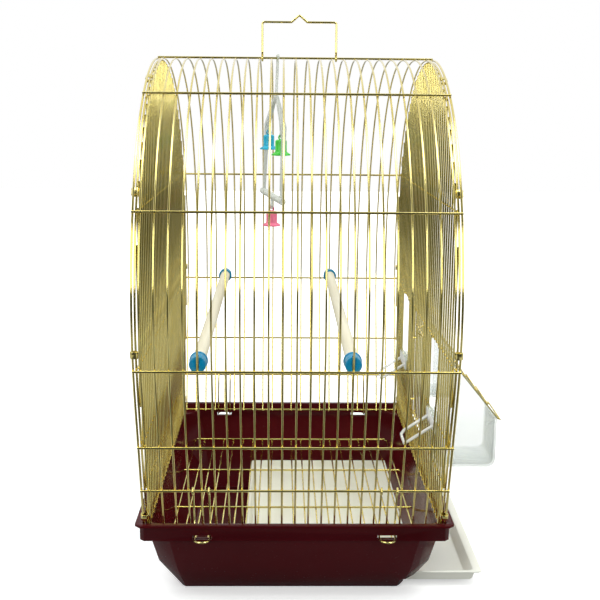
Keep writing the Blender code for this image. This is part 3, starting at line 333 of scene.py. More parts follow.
def bumped(made, shader, height, strength, distance):
    """Fine relief on the shader's normal."""
    bump = node(made.node_tree, "ShaderNodeBump", in_Strength=strength, in_Distance=distance)
    wire_up(made.node_tree, (height, bump.inputs["Height"]), (bump.outputs[0], shader.inputs["Normal"]))


print("ranges, blends and relief ready")

# %% [markdown]
# Brass plating is thin and bright, under a coat of lacquer. Its colour shifts a little along each wire,
# and the drawing die leaves it rougher in places, so the highlights break up. A plain gold colour would
# do from afar. Two noises add the rest.

# %% Brass-plated wire
brass, shader, spot = finish("brass_wire", (0.78, 0.66, 0.22), 0.10, Metallic=1.0, Coat_Weight=0.6)
patches = noise(brass, spot, 30.0)
drawn = ranged(brass, noise(brass, spot, 300.0), 0.08, 0.14)
linked(brass, shader, patches, (0.72, 0.60, 0.18), (0.84, 0.73, 0.28), drawn)
print(brass.name)

# %% [markdown]
# The tub is polypropylene with a glossy face. A very low wave and small specks of dust keep the
# reflections from looking like glass. Its thin walls let a little red light through: the far wall glows
# before the white sweep, and the near wall's outside is dark. Subsurface scattering could do that
# slowly. A share of Translucent does it for a thin wall.

# %% Maroon plastic
maroon, shader, spot = finish("maroon_plastic", (0.045, 0.0035, 0.006), 0.16, Specular_IOR_Level=0.15)
flow = noise(maroon, spot, 9.0, 2.0, (1, 1, 2.5))
specks = ranged(maroon, noise(maroon, spot, 420.0, 2.0), 0.13, 0.30, 0.45, 0.75)
linked(maroon, shader, flow, (0.052, 0.004, 0.006), (0.064, 0.005, 0.008), specks)
bumped(maroon, shader, flow, 0.25, 0.0012)
tree = maroon.node_tree
glowing = node(tree, "ShaderNodeBsdfTranslucent", in_Color=(0.50, 0.016, 0.010, 1))
thin = node(tree, "ShaderNodeMixShader", in_0=0.20)
wire_up(
    tree,
    (shader.outputs[0], thin.inputs[1]),
    (glowing.outputs[0], thin.inputs[2]),
    (thin.outputs[0], tree.nodes["Material Output"].inputs["Surface"]),
)
print(maroon.name)

# %% [markdown]
# The tray is a plainer moulding, in pale cream with a satin face. It needs no gloss, only a faint cloud
# in its colour and a fine grain that takes the shine off.

# %% Cream plastic
cream, shader, spot = finish("cream_plastic", (0.85, 0.86, 0.77), 0.42)
cloud = noise(cream, spot, 18.0)
grain = noise(cream, spot, 1400.0, 2.0)
satin = ranged(cream, cloud, 0.36, 0.50)
linked(cream, shader, cloud, (0.83, 0.83, 0.73), (0.88, 0.89, 0.81), satin)
bumped(cream, shader, grain, 0.10, 0.0002)
print(cream.name)

# %% [markdown]
# Clear styrene is thin, so it hardly bends light but shows its edges and rims. The walls are real walls,
# so a refracting shader would be slow and dark. A glossy shader with a low Alpha looks the same at this
# size, and it lets the lamps through.

# %% Clear and milky plastic
RIM_BLEND, RIM_FROM, RIM_TO = 0.35, 0.1, 0.95
HAZE_SMOOTH, HAZE_ROUGH = 0.7, 1.6


def see_through(name, colour, roughness, alpha, edge):
    """A glossy plastic whose faces let the view through, more so where they are seen square on."""
    made, shader, spot = finish(name, colour, roughness)
    tree = made.node_tree
    rim = node(tree, "ShaderNodeLayerWeight", in_Blend=RIM_BLEND)
    density = ranged(made, rim.outputs["Facing"], alpha, edge, RIM_FROM, RIM_TO)
    wire_up(tree, (density, shader.inputs["Alpha"]))
    haze = ranged(made, noise(made, spot, 120.0, 2.0), roughness * HAZE_SMOOTH, roughness * HAZE_ROUGH)
    wire_up(tree, (haze, shader.inputs["Roughness"]))
    return made


clear = see_through("clear_plastic", (0.56, 0.64, 0.60), 0.06, 0.14, 0.70)
# A whiter, less clear copy of the clear finish: a painted highlight for the thick clear plastic of the
# cups' lips and landing perches.
painted_highlight_clear = see_through("clear_plastic_painted_highlight", (0.90, 0.92, 0.92), 0.20, 0.55, 0.95)
milky = see_through("milky_plastic", (0.60, 0.64, 0.58), 0.25, 0.55, 0.92)
print(clear.name, painted_highlight_clear.name, milky.name)

# %% [markdown]
# The perches are sanded dowels. Their grain runs along Y, so both noises are stretched that way, and the
# pores also roughen and dent the surface a little.

# %% Wood
wood, shader, spot = finish("pale_wood", (0.80, 0.72, 0.56), 0.6)
grain = noise(wood, spot, 90.0, 4.0, (1, 0.06, 1))
pores = noise(wood, spot, 700.0, 2.0, (1, 0.04, 1))
sanded = ranged(wood, pores, 0.5, 0.75)
linked(wood, shader, grain, (0.80, 0.77, 0.63), (0.68, 0.63, 0.47), sanded)
bumped(wood, shader, pores, 0.25, 0.0003)
print(wood.name)

# %% [markdown]
# The perch caps and the bells are small mouldings in strong colours. They differ by colour alone, so one
# function makes all four, with a slight mottle from the same noise.

# %% Coloured mouldings
DARKER, MOTTLE_SMOOTH, MOTTLE_ROUGH = 0.85, 0.8, 1.3


def moulded(name, colour, roughness=0.28):
    """An opaque coloured plastic with a slight mottle."""
    made, shader, spot = finish(name, colour, roughness)
    mottle = noise(made, spot, 260.0, 2.0)
    darker = tuple(v * DARKER for v in colour)
    rough = ranged(made, mottle, roughness * MOTTLE_SMOOTH, roughness * MOTTLE_ROUGH)
    linked(made, shader, mottle, colour, darker, rough)
    return made


cap_blue = moulded("cap_blue", (0.0, 0.26, 0.50))
bell_paint = {
    "blue": moulded("bell_blue", (0.0, 0.46, 0.72)),
    "green": moulded("bell_green", (0.06, 0.70, 0.05)),
    "pink": moulded("bell_pink", (0.95, 0.20, 0.34)),
}
print("mouldings", cap_blue.name, *[m.name for m in bell_paint.values()])

# %% [markdown]
# ## Two node trees for wire work
#
# Bent wire is a round section swept along a path, so every wire piece is drawn as its centre line alone.
# A curve with a bevel would do for one wire. Node trees are chosen because their inputs have names, and
# because one of them repeats a wire. Both end in Realize Instances and Set Material, and the result is
# baked to a plain mesh.


# %% What both trees share
def new_tree(name, numbers):
    """An empty geometry tree with named inputs, and its input and output nodes."""
    tree = bpy.data.node_groups.new(name, "GeometryNodeTree")
    face = tree.interface
    face.new_socket("Geometry", in_out="OUTPUT", socket_type="NodeSocketGeometry")
    face.new_socket("Geometry", in_out="INPUT", socket_type="NodeSocketGeometry")
    for label, kind in numbers:
        face.new_socket(label, in_out="INPUT", socket_type=kind)
    return tree, node(tree, "NodeGroupInput"), node(tree, "NodeGroupOutput")


def sweep(tree, given, curve):
    """Nodes that turn centre lines into round wire, up to the tree's last geometry."""
    profile = node(tree, "GeometryNodeCurvePrimitiveCircle", mode="RADIUS")
    tube = node(tree, "GeometryNodeCurveToMesh", in_Fill_Caps=True)
    smooth = node(tree, "GeometryNodeSetShadeSmooth")
    real = node(tree, "GeometryNodeRealizeInstances")
    paint = node(tree, "GeometryNodeSetMaterial")
    wire_up(
        tree,
        (given.outputs["Sides"], profile.inputs["Resolution"]),
        (given.outputs["Radius"], profile.inputs["Radius"]),
        (curve, tube.inputs["Curve"]),
        (profile.outputs[0], tube.inputs["Profile Curve"]),
        (tube.outputs[0], smooth.inputs["Geometry"]),
        (smooth.outputs[0], real.inputs["Geometry"]),
        (real.outputs[0], paint.inputs["Geometry"]),
        (given.outputs["Material"], paint.inputs["Material"]),
    )
    return paint.outputs[0]


SWEPT = [("Radius", "NodeSocketFloat"), ("Sides", "NodeSocketInt"), ("Material", "NodeSocketMaterial")]
print("both trees take", [label for label, kind in SWEPT])

# %% [markdown]
# The first tree rounds the bends of each line, as a bending machine does, and then gives it its
# thickness.

# %% Tree for bent wire
BENT = [("Bend", "NodeSocketFloat"), ("Bend steps", "NodeSocketInt")]
bent_wire, given, result = new_tree("bent_wire", SWEPT + BENT)
fillet = node(bent_wire, "GeometryNodeFilletCurve", mode="POLY", in_Limit_Radius=True)
wire_up(
    bent_wire,
    (given.outputs["Geometry"], fillet.inputs["Curve"]),
    (given.outputs["Bend"], fillet.inputs["Radius"]),
    (given.outputs["Bend steps"], fillet.inputs["Count"]),
)
wire_up(bent_wire, (sweep(bent_wire, given, fillet.outputs[0]), result.inputs[0]))
print("tree", bent_wire.name)

# %% [markdown]
# The second tree repeats one line at a fixed pitch, centred on X = 0, as a welding jig lays out its bars.
# The first copy stands at minus half of (count - 1) pitches.

# %% Tree for a row of wires
ROW = [("Count", "NodeSocketInt"), ("Pitch", "NodeSocketFloat")]
wire_row, given, result = new_tree("wire_row", SWEPT + ROW)
less = node(wire_row, "ShaderNodeMath", operation="SUBTRACT", in_1=1.0)
half = node(wire_row, "ShaderNodeMath", operation="MULTIPLY", in_1=-0.5)
start = node(wire_row, "ShaderNodeMath", operation="MULTIPLY")
first = node(wire_row, "ShaderNodeCombineXYZ")
step = node(wire_row, "ShaderNodeCombineXYZ")
line = node(wire_row, "GeometryNodeMeshLine")
copies = node(wire_row, "GeometryNodeInstanceOnPoints")
loose = node(wire_row, "GeometryNodeRealizeInstances")
wire_up(
    wire_row,
    (given.outputs["Count"], less.inputs[0]),
    (less.outputs[0], half.inputs[0]),
    (half.outputs[0], start.inputs[0]),
    (given.outputs["Pitch"], start.inputs[1]),
    (start.outputs[0], first.inputs["X"]),
    (given.outputs["Pitch"], step.inputs["X"]),
    (given.outputs["Count"], line.inputs["Count"]),
    (first.outputs[0], line.inputs["Start Location"]),
    (step.outputs[0], line.inputs["Offset"]),
    (line.outputs[0], copies.inputs["Points"]),
    (given.outputs["Geometry"], copies.inputs["Instance"]),
    (copies.outputs[0], loose.inputs["Geometry"]),
)
wire_up(wire_row, (sweep(wire_row, given, loose.outputs[0]), result.inputs[0]))
print("tree", wire_row.name)

# %% [markdown]
# Baking draws the centre lines as a curve, sets the tree's inputs by their sockets' identifiers and keeps
# the mesh alone.


# %% Baking
def evaluated(piece):
    """The mesh that an object's modifiers make."""
    bpy.context.view_layer.update()
    graph = bpy.context.evaluated_depsgraph_get()
    return bpy.data.meshes.new_from_object(piece.evaluated_get(graph))


def baked(paths, tree, **values):
    """The plain mesh that a tree makes from centre lines. Each path is (points, closed)."""
    curve = bpy.data.curves.new("lines", "CURVE")
    curve.dimensions = "3D"
    for points, closed in paths:
        spline = curve.splines.new("POLY")
        spline.points.add(len(points) - 1)
        spline.points.foreach_set("co", [v for point in points for v in (*point, 1)])
        spline.use_cyclic_u = closed
    drawn = in_scene("lines", curve)
    maker = drawn.modifiers.new("maker", "NODES")
    maker.node_group = tree
    items = [item for item in tree.interface.items_tree if item.in_out == "INPUT"]
    sockets = {item.name: item.identifier for item in items}
    for label, value in values.items():
        maker[sockets[label.replace("_", " ")]] = value
    mesh = evaluated(drawn)
    bpy.data.objects.remove(drawn)
    return mesh


print("baking from", bent_wire.name, "and", wire_row.name)


# %% Joining and dressing
def joined(name, meshes):
    """One object at the origin from several meshes, with their materials kept."""
    whole = bmesh.new()
    paints = []
    for mesh in meshes:
        first_face = len(whole.faces)
        whole.from_mesh(mesh)
        whole.faces.ensure_lookup_table()
        slots = []
        for paint in mesh.materials:
            if paint not in paints:
                paints.append(paint)
            slots.append(paints.index(paint))
        for face in whole.faces[first_face:]:
            face.material_index = slots[face.material_index] if slots else 0
    made = bpy.data.meshes.new(name)
    whole.to_mesh(made)
    whole.free()
    for paint in paints:
        made.materials.append(paint)
    return in_scene(name, made)


def dress(piece, body, slot, *replaced):
    """The piece rides on its body and stands for its CAD nodes. Its slot argument is not used."""
    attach(piece, body)
    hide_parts(*replaced)
    print(piece.name, "on", body, "has", len(piece.data.polygons), "faces")


print("joining and dressing ready")

# %% [markdown]
# The cage is made of three gauges of wire: thick for the shell's rails, the rims and the handle, thinner
# for the bars and the latches, and fine for the panels' rails, the lids and the door's bars. A bundle of
# settings for each gauge saves writing them at every wire. Eyes and loops are arcs, so one function lists
# an arc's points.


# %% Gauges and arcs
def ring_of(centre, radius, start, end, steps):
    """Points of an arc in a plane, as pairs."""
    turns = [math.radians(start + (end - start) * i / steps) for i in range(steps + 1)]
    return [(centre[0] + radius * math.cos(t), centre[1] + radius * math.sin(t)) for t in turns]


BAR_R, RAIL_R, FINE_R = 0.0009, 0.0011, 0.0008
ROW_SIDES = 10
WIRE = {"tree": bent_wire, "Material": brass, "Sides": 12, "Bend": 0.0, "Bend_steps": 4}
BAR = {**WIRE, "Radius": BAR_R}
RAIL = {**WIRE, "Radius": RAIL_R}
BAR_ROW = {"tree": wire_row, "Material": brass, "Sides": ROW_SIDES, "Radius": BAR_R}
print("wire radii", BAR_R, RAIL_R, FINE_R)

# %% [markdown]
# ## The shell: front, roof and back in one
#
# The real shell is a flat welded mat of 23 bars and 13 rails, bent over a former: straight legs that lean
# in and a roof that is part of a circle. So one bar's centre line says it all, and the row tree repeats
# it.

# %% Arch
PITCH_X, SHELL_BARS = 0.0121, 23
SHELL_HALF, EDGE_X = 0.1400, 0.1392
ARCH_R, ARCH_Z, APEX_Z, ARCH_STEPS = 0.2323, 0.2712, 0.5030, 88
SEAT_Z, LEAN = 0.0720, math.radians(16.1)
WIRE_INSET, FOOT_RAIL_INSET = 0.0019, 0.0005
RAIL_TURNS = {"a": 57.5, "b": 24.9, "c": -9.0}
RAIL_HEIGHTS = {"d": 0.0879, "e": 0.0426, "f": 0.0}


def leg_depth(height, inset):
    """Half depth of the leg at a height above the seat."""
    radius = ARCH_R - inset
    fall = ARCH_Z - radius * math.sin(LEAN) - SEAT_Z - height
    return radius * math.cos(LEAN) - fall * math.tan(LEAN)


def arch_line(x, inset, foot):
    """Centre line of the arch at x, from the near foot over the roof to the far foot."""
    radius = ARCH_R - inset
    turns = [-LEAN + (math.pi + 2 * LEAN) * i / ARCH_STEPS for i in range(ARCH_STEPS + 1)]
    roof = [(x, -radius * math.cos(t), ARCH_Z + radius * math.sin(t)) for t in turns]
    depth = leg_depth(foot, inset)
    return [(x, -depth, SEAT_Z + foot), *roof, (x, depth, SEAT_Z + foot)]


rails = {}
for letter, degrees in RAIL_TURNS.items():
    turn = math.radians(degrees)
    rails[letter] = (ARCH_R * math.cos(turn), ARCH_Z + ARCH_R * math.sin(turn))
for letter, height in RAIL_HEIGHTS.items():
    inset = FOOT_RAIL_INSET if letter == "f" else 0.0
    rails[letter] = (leg_depth(height, inset), SEAT_Z + height)
print("rails", {letter: (round(y, 4), round(z, 4)) for letter, (y, z) in rails.items()})

# %% Shell
spots = [(0.0, APEX_Z)] + [(side * y, z) for y, z in rails.values() for side in (-1, 1)]
bar_line = arch_line(0.0, WIRE_INSET, -BAR_R)
bars = baked([(bar_line, False)], **BAR_ROW, Count=SHELL_BARS, Pitch=PITCH_X)
edges = baked([(arch_line(x, WIRE_INSET, -BAR_R), False) for x in (-EDGE_X, EDGE_X)], **RAIL)
level_rails = baked([([(-SHELL_HALF, y, z), (SHELL_HALF, y, z)], False) for y, z in spots], **RAIL)
dress(joined("shell", [bars, edges, level_rails]), "root", "gold_wire", "wire_shell")

# %% [markdown]
# ## End panels
#
# Each end is a flat mat: a frame wire that follows the arch, 37 upright bars and five rails. On the right
# the bars are cut away for the two feeders and for the door, and the rails step in there to hold the cut
# ends. A panel could be one grid with a Boolean cut. Lines are chosen because each bar ends where it
# meets the frame wire, which two short functions work out. An opening is written as (first bar, last bar,
# sill rail, lintel rail), counted from the middle bar.

# %% Where a panel's wires end
FRAME_X, FRAME_INSET = 0.1365, 0.0034
FRAME_R = ARCH_R - FRAME_INSET
PANEL_BAR_X, PANEL_RAIL_X, OPEN_RAIL_X = 0.1352, 0.1369, 0.1366
HALF_BARS = 18
OPENINGS = [(-12, -7, "d", "c"), (7, 12, "d", "c"), (-3, 3, "e", "c")]
DOOR_JAMB = 4
STEP_STARTS, STEP_ENDS = 0.7, 0.4


def bar_span(y):
    """Lowest and highest point of a panel's bar, where it meets the frame wire."""
    roof = ARCH_Z + math.sqrt(FRAME_R**2 - y**2)
    foot = leg_depth(0.0, FRAME_INSET)
    if abs(y) <= foot:
        return SEAT_Z, roof
    on_leg = SEAT_Z + (abs(y) - foot) / math.tan(LEAN)
    if on_leg <= ARCH_Z - FRAME_R * math.sin(LEAN):
        return on_leg, roof
    return ARCH_Z - math.sqrt(FRAME_R**2 - y**2), roof


def frame_depth(z):
    """Half depth of the frame wire at a height."""
    if z < ARCH_Z - FRAME_R * math.sin(LEAN):
        return leg_depth(z - SEAT_Z, FRAME_INSET)
    return math.sqrt(FRAME_R**2 - (z - ARCH_Z) ** 2)


print("frame wire is", round(2 * frame_depth(ARCH_Z), 4), "m across")


# %% Upright bars
def uprights_of(side, openings):
    """Lines of the upright bars, cut at the openings."""
    lines = []
    for index in range(-HALF_BARS, HALF_BARS + 1):
        y = index * PITCH_X
        low, high = bar_span(y)
        stops = [low, high]
        for first, last, sill, lintel in openings:
            if first < index < last:
                stops = [low, rails[sill][1], rails[lintel][1], high]
        for start, end in zip(stops[::2], stops[1::2]):
            lines.append(([(side * PANEL_BAR_X, y, start), (side * PANEL_BAR_X, y, end)], False))
    return lines


print("the right panel has", len(uprights_of(1, OPENINGS)), "lengths of bar")


# %% Level rails
def stepped(line, side, openings, letter, start, stop, z):
    """Adds the points where a rail steps in to hold the cut bars of an opening."""
    for first, last, *held in sorted(openings):
        if letter in held and start < first * PITCH_X and last * PITCH_X < stop:
            outer, inner = side * PANEL_RAIL_X, side * OPEN_RAIL_X
            line += [(outer, (first - STEP_STARTS) * PITCH_X, z), (inner, (first - STEP_ENDS) * PITCH_X, z)]
            line += [(inner, (last + STEP_ENDS) * PITCH_X, z), (outer, (last + STEP_STARTS) * PITCH_X, z)]
    return line


def rails_of(side, openings):
    """Lines of the level rails. Rail d leaves the door's opening free."""
    lines = []
    for letter in "abcde":
        z = rails[letter][1]
        end = frame_depth(z)
        spans = [(-end, end)]
        if openings and letter == "d":
            spans = [(-end, -DOOR_JAMB * PITCH_X), (DOOR_JAMB * PITCH_X, end)]
        for start, stop in spans:
            line = stepped([(side * PANEL_RAIL_X, start, z)], side, openings, letter, start, stop, z)
            lines.append((line + [(side * PANEL_RAIL_X, stop, z)], False))
    return lines


print("and", len(rails_of(1, OPENINGS)), "lengths of rail")

# %% Two panels
for side, name, openings in ((-1, "left", []), (1, "right", OPENINGS)):
    rim = arch_line(side * FRAME_X, FRAME_INSET, 0.0)
    meshes = [
        baked(uprights_of(side, openings), **{**BAR, "Sides": ROW_SIDES}),
        baked(rails_of(side, openings), **{**WIRE, "Radius": FINE_R}),
        baked([(rim, True)], **RAIL),
    ]
    dress(joined(f"end_panel_{name}", meshes), "root", "gold_wire", f"panel_{name}")

# %% [markdown]
# ## Grate
#
# The floor grate is a flat mat as well: 21 thin wires under four rails whose ends are bent down to bear
# on the tub's walls. The row tree lays the wires, and the bend of a rail's end comes from the first tree.
# The rails' half lengths follow the tub, which is narrower near its corners.

# %% Grate
GRATE_Z, GRATE_BARS = 0.0393, 21
GRATE_HALF_Y, GRATE_BAR_SINKS = 0.1630, 0.0018
WALL_ENDS = {1: 0.1222, 1 / 3: 0.1290}
BENT_END, BENT_DROP, END_BEND = 0.0045, 0.0022, 0.002
bar_end, bar_z = GRATE_HALF_Y + BAR_R, GRATE_Z - GRATE_BAR_SINKS
grate_line = [(0, -bar_end, bar_z), (0, bar_end, bar_z)]
grate_bars = baked([(grate_line, False)], **BAR_ROW, Count=GRATE_BARS, Pitch=PITCH_X)
cross = []
for share, end in WALL_ENDS.items():
    for y in (-share * GRATE_HALF_Y, share * GRATE_HALF_Y):
        high, low = end - BENT_END, GRATE_Z - BENT_DROP
        cross.append(([(-end, y, low), (-high, y, GRATE_Z), (high, y, GRATE_Z), (end, y, low)], False))
grate_rails = baked(cross, **{**RAIL, "Bend": END_BEND})
dress(joined("floor_grate", [grate_bars, grate_rails]), "root", "gold_wire", "grate")

# %% [markdown]
# ## Copies of the CAD solids
#
# The tub, the tray, the cups and the clips have the right shape already and only need the softer edges of
# moulded plastic and pressed sheet. They could be drawn again, but a copy is sure to fit. A CAD mesh is
# loose triangles, so the copy is merged first, and flat faces are joined again. Then a Bevel rounds the
# edges.

# %% Softening
MERGE_WITHIN, FLAT_ANGLE = 1e-5, math.radians(1.0)
BEVEL_ANGLE, CREASE_ANGLE = math.radians(30), math.radians(40)


def softened(name, node_name, width, paint):
    """A merged copy of a CAD node with rounded edges and its own finish."""
    mesh = nodes[node_name].data.copy()
    mesh.name = name
    work = bmesh.new()
    work.from_mesh(mesh)
    bmesh.ops.remove_doubles(work, verts=work.verts, dist=MERGE_WITHIN)
    bmesh.ops.dissolve_limit(work, angle_limit=FLAT_ANGLE, verts=work.verts, edges=work.edges)
    work.to_mesh(mesh)
    work.free()
    mesh.materials.clear()
    mesh.materials.append(paint)
    piece = in_scene(name, mesh)
    if width:
        bevel = piece.modifiers.new("edges", "BEVEL")
        bevel.width = width
        bevel.segments = 2
        bevel.limit_method = "ANGLE"
        bevel.angle_limit = BEVEL_ANGLE
    final = evaluated(piece)
    piece.modifiers.clear()
    piece.data = final
    final.name = name
    final.shade_smooth()
    final.set_sharp_from_angle(angle=CREASE_ANGLE)
    return piece


print("softening ready")

# %% Tub and tray
TUB_EDGE, TRAY_EDGE = 0.0009, 0.0008
dress(softened("tub", "base_tub", TUB_EDGE, maroon), "root", "maroon_plastic", "base_tub")
dress(softened("drawn_tray", "tray", TRAY_EDGE, cream), "tray", "cream_plastic", "tray")

# %% [markdown]
# A feeder cup is clear where it stands outside. Its lip and the landing perch, which reach into the cage,
# are the same clear plastic, only thicker, and they catch white highlights. Both are one moulding, so the
# faces inside the panel's plane get the second finish: a whiter, less clear copy that is a painted
# highlight.

# %% Feeder cups
CUP_EDGE, CUP_BACK = 0.0004, 0.1340
for end in ("near", "far"):
    cup = softened(f"cup_{end}", f"feeder_cup_{end}", CUP_EDGE, clear)
    # The second finish is a painted highlight: whiter and less clear than the rest of the same plastic.
    cup.data.materials.append(painted_highlight_clear)
    for face in cup.data.polygons:
        face.material_index = 1 if face.center.x < CUP_BACK else 0
    dress(cup, "root", "clear_plastic", f"feeder_cup_{end}")

# %% [markdown]
# Sheet-metal clips bind each panel to the shell: four at each corner of the cage, numbered from the top
# down. They are plated like the wire, and their cut edges are only just broken.

# %% Clips
CLIP_EDGE, CLIPS_A_CORNER = 0.0002, 4
for side in ("left", "right"):
    for end in ("near", "far"):
        for number in range(1, CLIPS_A_CORNER + 1):
            clip_name = f"clip_{side}_{end}_{number}"
            clip = softened("soft_" + clip_name, clip_name, CLIP_EDGE, brass)
            dress(clip, "root", "gold_wire", clip_name)

# %% [markdown]
# ## The swing
#
# The swing is one flexible moulding whose bands are wider across than its plate. The copy's band is
# widened about its own middle plane, in the swing's turned and leaning frame, and its hook and lugs stay
# as they are.

# %% Swing
SWING_AT = Vector((-0.01815, 0, APEX_Z))
SWING_TURNED, SWING_LEANS = math.radians(10.5), math.radians(2.2)
SWING_TURN = Matrix.Rotation(SWING_LEANS, 4, "Y") @ Matrix.Rotation(SWING_TURNED, 4, "Z")
SWING_HALF, SHOULDER, ARM_END = 0.0500, (0.0365, 0.0705), 0.1360
HOOK_HALF, PLATE_HALF = 0.003, 0.0014
BAND_REACH, BAND_WIDER = 0.0036, 1.9
swing = softened("swing_frame", "swing", 0.0, milky)
own = Matrix.Translation(SWING_AT) @ SWING_TURN
back = own.inverted()
widened = 0
for vertex in swing.data.vertices:
    x, y, z = back @ vertex.co
    slope = -SHOULDER[0] - (SHOULDER[1] - SHOULDER[0]) * abs(y) / SWING_HALF
    on_shoulder = abs(z - slope) < BAND_REACH and abs(y) > HOOK_HALF
    on_arm = abs(abs(y) - SWING_HALF) < BAND_REACH and -ARM_END < z < -SHOULDER[1] + BAND_REACH
    if abs(x) < PLATE_HALF and (on_shoulder or on_arm):
        vertex.co = own @ Vector((x * BAND_WIDER, y, z))
        widened += 1
print("widened", widened, "points of the band")
dress(swing, "swing", "pale_plastic", "swing")

# %% [markdown]
# ## Turned pieces
#
# Dowels, caps and bells are round, so each is a profile turned about its axis in fine steps. A Screw
# modifier could turn it too. A short function also takes a wave on the radius, which a bell's scalloped
# mouth needs.

# %% Turning
STEPS = 48
TURNED_CREASE = math.radians(35)
ON_AXIS = 1e-6


def turned(profile, wave=None):
    """A mesh from (radius, height) pairs turned about Z, with a wave on the radius if one is given."""
    work = bmesh.new()
    rings = []
    turns = [2 * math.pi * i / STEPS for i in range(STEPS)]
    for radius, height in profile:
        if radius < ON_AXIS:
            rings.append([work.verts.new((0, 0, height))] * STEPS)
            continue
        ring = []
        for turn in turns:
            reach = radius * (wave(radius, turn) if wave else 1.0)
            ring.append(work.verts.new((reach * math.cos(turn), reach * math.sin(turn), height)))
        rings.append(ring)
    for lower, upper in zip(rings, rings[1:]):
        for i in range(STEPS):
            j = (i + 1) % STEPS
            corners = dict.fromkeys((lower[i], lower[j], upper[j], upper[i]))
            if len(corners) > 2:
                work.faces.new(list(corners))
    bmesh.ops.recalc_face_normals(work, faces=work.faces)
    mesh = bpy.data.meshes.new("turned")
    work.to_mesh(mesh)
    work.free()
    mesh.shade_smooth()
    mesh.set_sharp_from_angle(angle=TURNED_CREASE)
    return mesh


def in_paint(mesh, paint):
    """The mesh with one finish."""
    mesh.materials.clear()
    mesh.materials.append(paint)
    return mesh


print("turns profiles in", STEPS, "steps")

# %% [markdown]
# Two dowels run the whole depth of the cage. Their ends are sanded a little, so the profile has a chamfer
# there. Each end sits in a blue cap: a sleeve with a blind bore, a low flange and a slot across its face
# that clasps a bar of the shell. The slot is cut with a box, and two raised ribs beside it guide the bar
# in. A cap is drawn standing on its axis and then laid against the near or the far bars.

# %% Caps
DOWEL_R, DOWEL_HALF, DOWEL_SOFT = 0.0058, 0.22218, 0.0006
CAP_R, CAP_FLANGE_R, CAP_FLANGE_T = 0.0074, 0.0081, 0.0022
CAP_FACE, CAP_L, CAP_BORE, CAP_LOOSE = 0.22748, 0.0160, 0.0110, 0.0003
CAP_ROUND, CAP_SOFT, FLANGE_SOFT = 0.0014, 0.0004, 0.0003
CAP_SLOT_W, CAP_SLOT_D, BLADE_L = 0.0024, 0.0056, 0.04


def slotted_cap():
    """A cap standing on its axis, with its bore and its slot."""
    face, foot = CAP_FACE, CAP_FACE - CAP_L
    bore, flange = DOWEL_R + CAP_LOOSE, foot + CAP_FLANGE_T
    profile = [(0, face), (CAP_R - CAP_ROUND, face), (CAP_R - CAP_SOFT, face - CAP_SOFT)]
    profile += [(CAP_R, face - CAP_ROUND), (CAP_R, flange), (CAP_FLANGE_R - FLANGE_SOFT, flange)]
    profile += [(CAP_FLANGE_R, flange - FLANGE_SOFT), (CAP_FLANGE_R, foot), (bore, foot)]
    profile += [(bore, foot + CAP_BORE), (0, foot + CAP_BORE)]
    cap_body = joined("cap_body", [in_paint(turned(profile), cap_blue)])
    blade = bmesh.new()
    size = Matrix.Diagonal((CAP_SLOT_W, BLADE_L, 2 * CAP_SLOT_D, 1))
    bmesh.ops.create_cube(blade, size=1.0, matrix=Matrix.Translation((0, 0, face)) @ size)
    blade_mesh = bpy.data.meshes.new("blade")
    blade.to_mesh(blade_mesh)
    blade.free()
    blade_piece = joined("blade", [blade_mesh])
    cut = cap_body.modifiers.new("slot", "BOOLEAN")
    cut.operation, cut.object, cut.solver = "DIFFERENCE", blade_piece, "EXACT"
    slotted = evaluated(cap_body)
    bpy.data.objects.remove(blade_piece)
    bpy.data.objects.remove(cap_body)
    slotted.shade_smooth()
    slotted.set_sharp_from_angle(angle=TURNED_CREASE)
    return slotted


print("cap is", round(2 * CAP_R, 4), "m wide")

# %% Ribs
RIB_W, RIB_H, RIB_SUNK, RIB_PAST, RIB_SHORT = 0.0010, 0.0007, 0.0001, 0.0005, 0.0006


def ribs_beside_slot(way):
    """The two ribs on a cap's face, which run from its middle to its lower edge."""
    lines = []
    height = CAP_FACE - RIB_SUNK
    for x in (-(CAP_SLOT_W + RIB_W) / 2, (CAP_SLOT_W + RIB_W) / 2):
        reach = math.sqrt((CAP_R - RIB_SHORT) ** 2 - x**2)
        lines.append(([(x, way * RIB_PAST, height), (x, -way * reach, height)], False))
    return baked(lines, **{**WIRE, "Radius": RIB_H, "Material": cap_blue})


print("rib radius", RIB_H)

# %% Perches
PERCH_Z = 0.2405
PERCH_X = {"left": -7 * PITCH_X, "right": 4 * PITCH_X}
half_dowel = [(0, DOWEL_HALF), (DOWEL_R - DOWEL_SOFT, DOWEL_HALF), (DOWEL_R, DOWEL_HALF - DOWEL_SOFT)]
dowel_profile = [(radius, -height) for radius, height in half_dowel] + half_dowel[::-1]
for side, x in PERCH_X.items():
    stand = Matrix.Translation((x, 0, PERCH_Z))
    dowel = turned(dowel_profile)
    dowel.transform(stand @ Matrix.Rotation(math.pi / 2, 4, "X"))
    dress(joined(f"dowel_{side}", [in_paint(dowel, wood)]), "root", "pale_wood", f"perch_{side}")
    for end, way in (("near", 1), ("far", -1)):
        meshes = [slotted_cap(), ribs_beside_slot(way)]
        for mesh in meshes:
            mesh.transform(stand @ Matrix.Rotation(way * math.pi / 2, 4, "X"))
        dress(joined(f"cap_{side}_{end}", meshes), "root", "cap_blue", f"perch_cap_{side}_{end}")

# %% [markdown]
# A bell is a thin moulded shell with a flared mouth, pulled in between six lobes, and it hangs from the
# swing by a loop. Its profile starts at the crown, runs down outside and comes back up inside. A turned
# profile is chosen again, with a wave that grows from nothing at the waist to its full size at the mouth.
# The small numbers in it round its corners.

# %% Bells
BELLS = {
    "blue": (-0.027553, 0.035397, 0.429127),
    "green": (-0.014511, -0.035397, 0.426824),
    "pink": (-0.023973, 0.0, 0.351412),
}
LOOP_R, LOOP_WIRE = 0.0023, 0.0007
BELL_H, BELL_WALL, BELL_FLARE = 0.0155, 0.0012, 0.0035
CROWN_R, WAIST_R, MOUTH_R = 0.0045, 0.0058, 0.0095
LOBES, LOBE_DEPTH = 6, 0.075


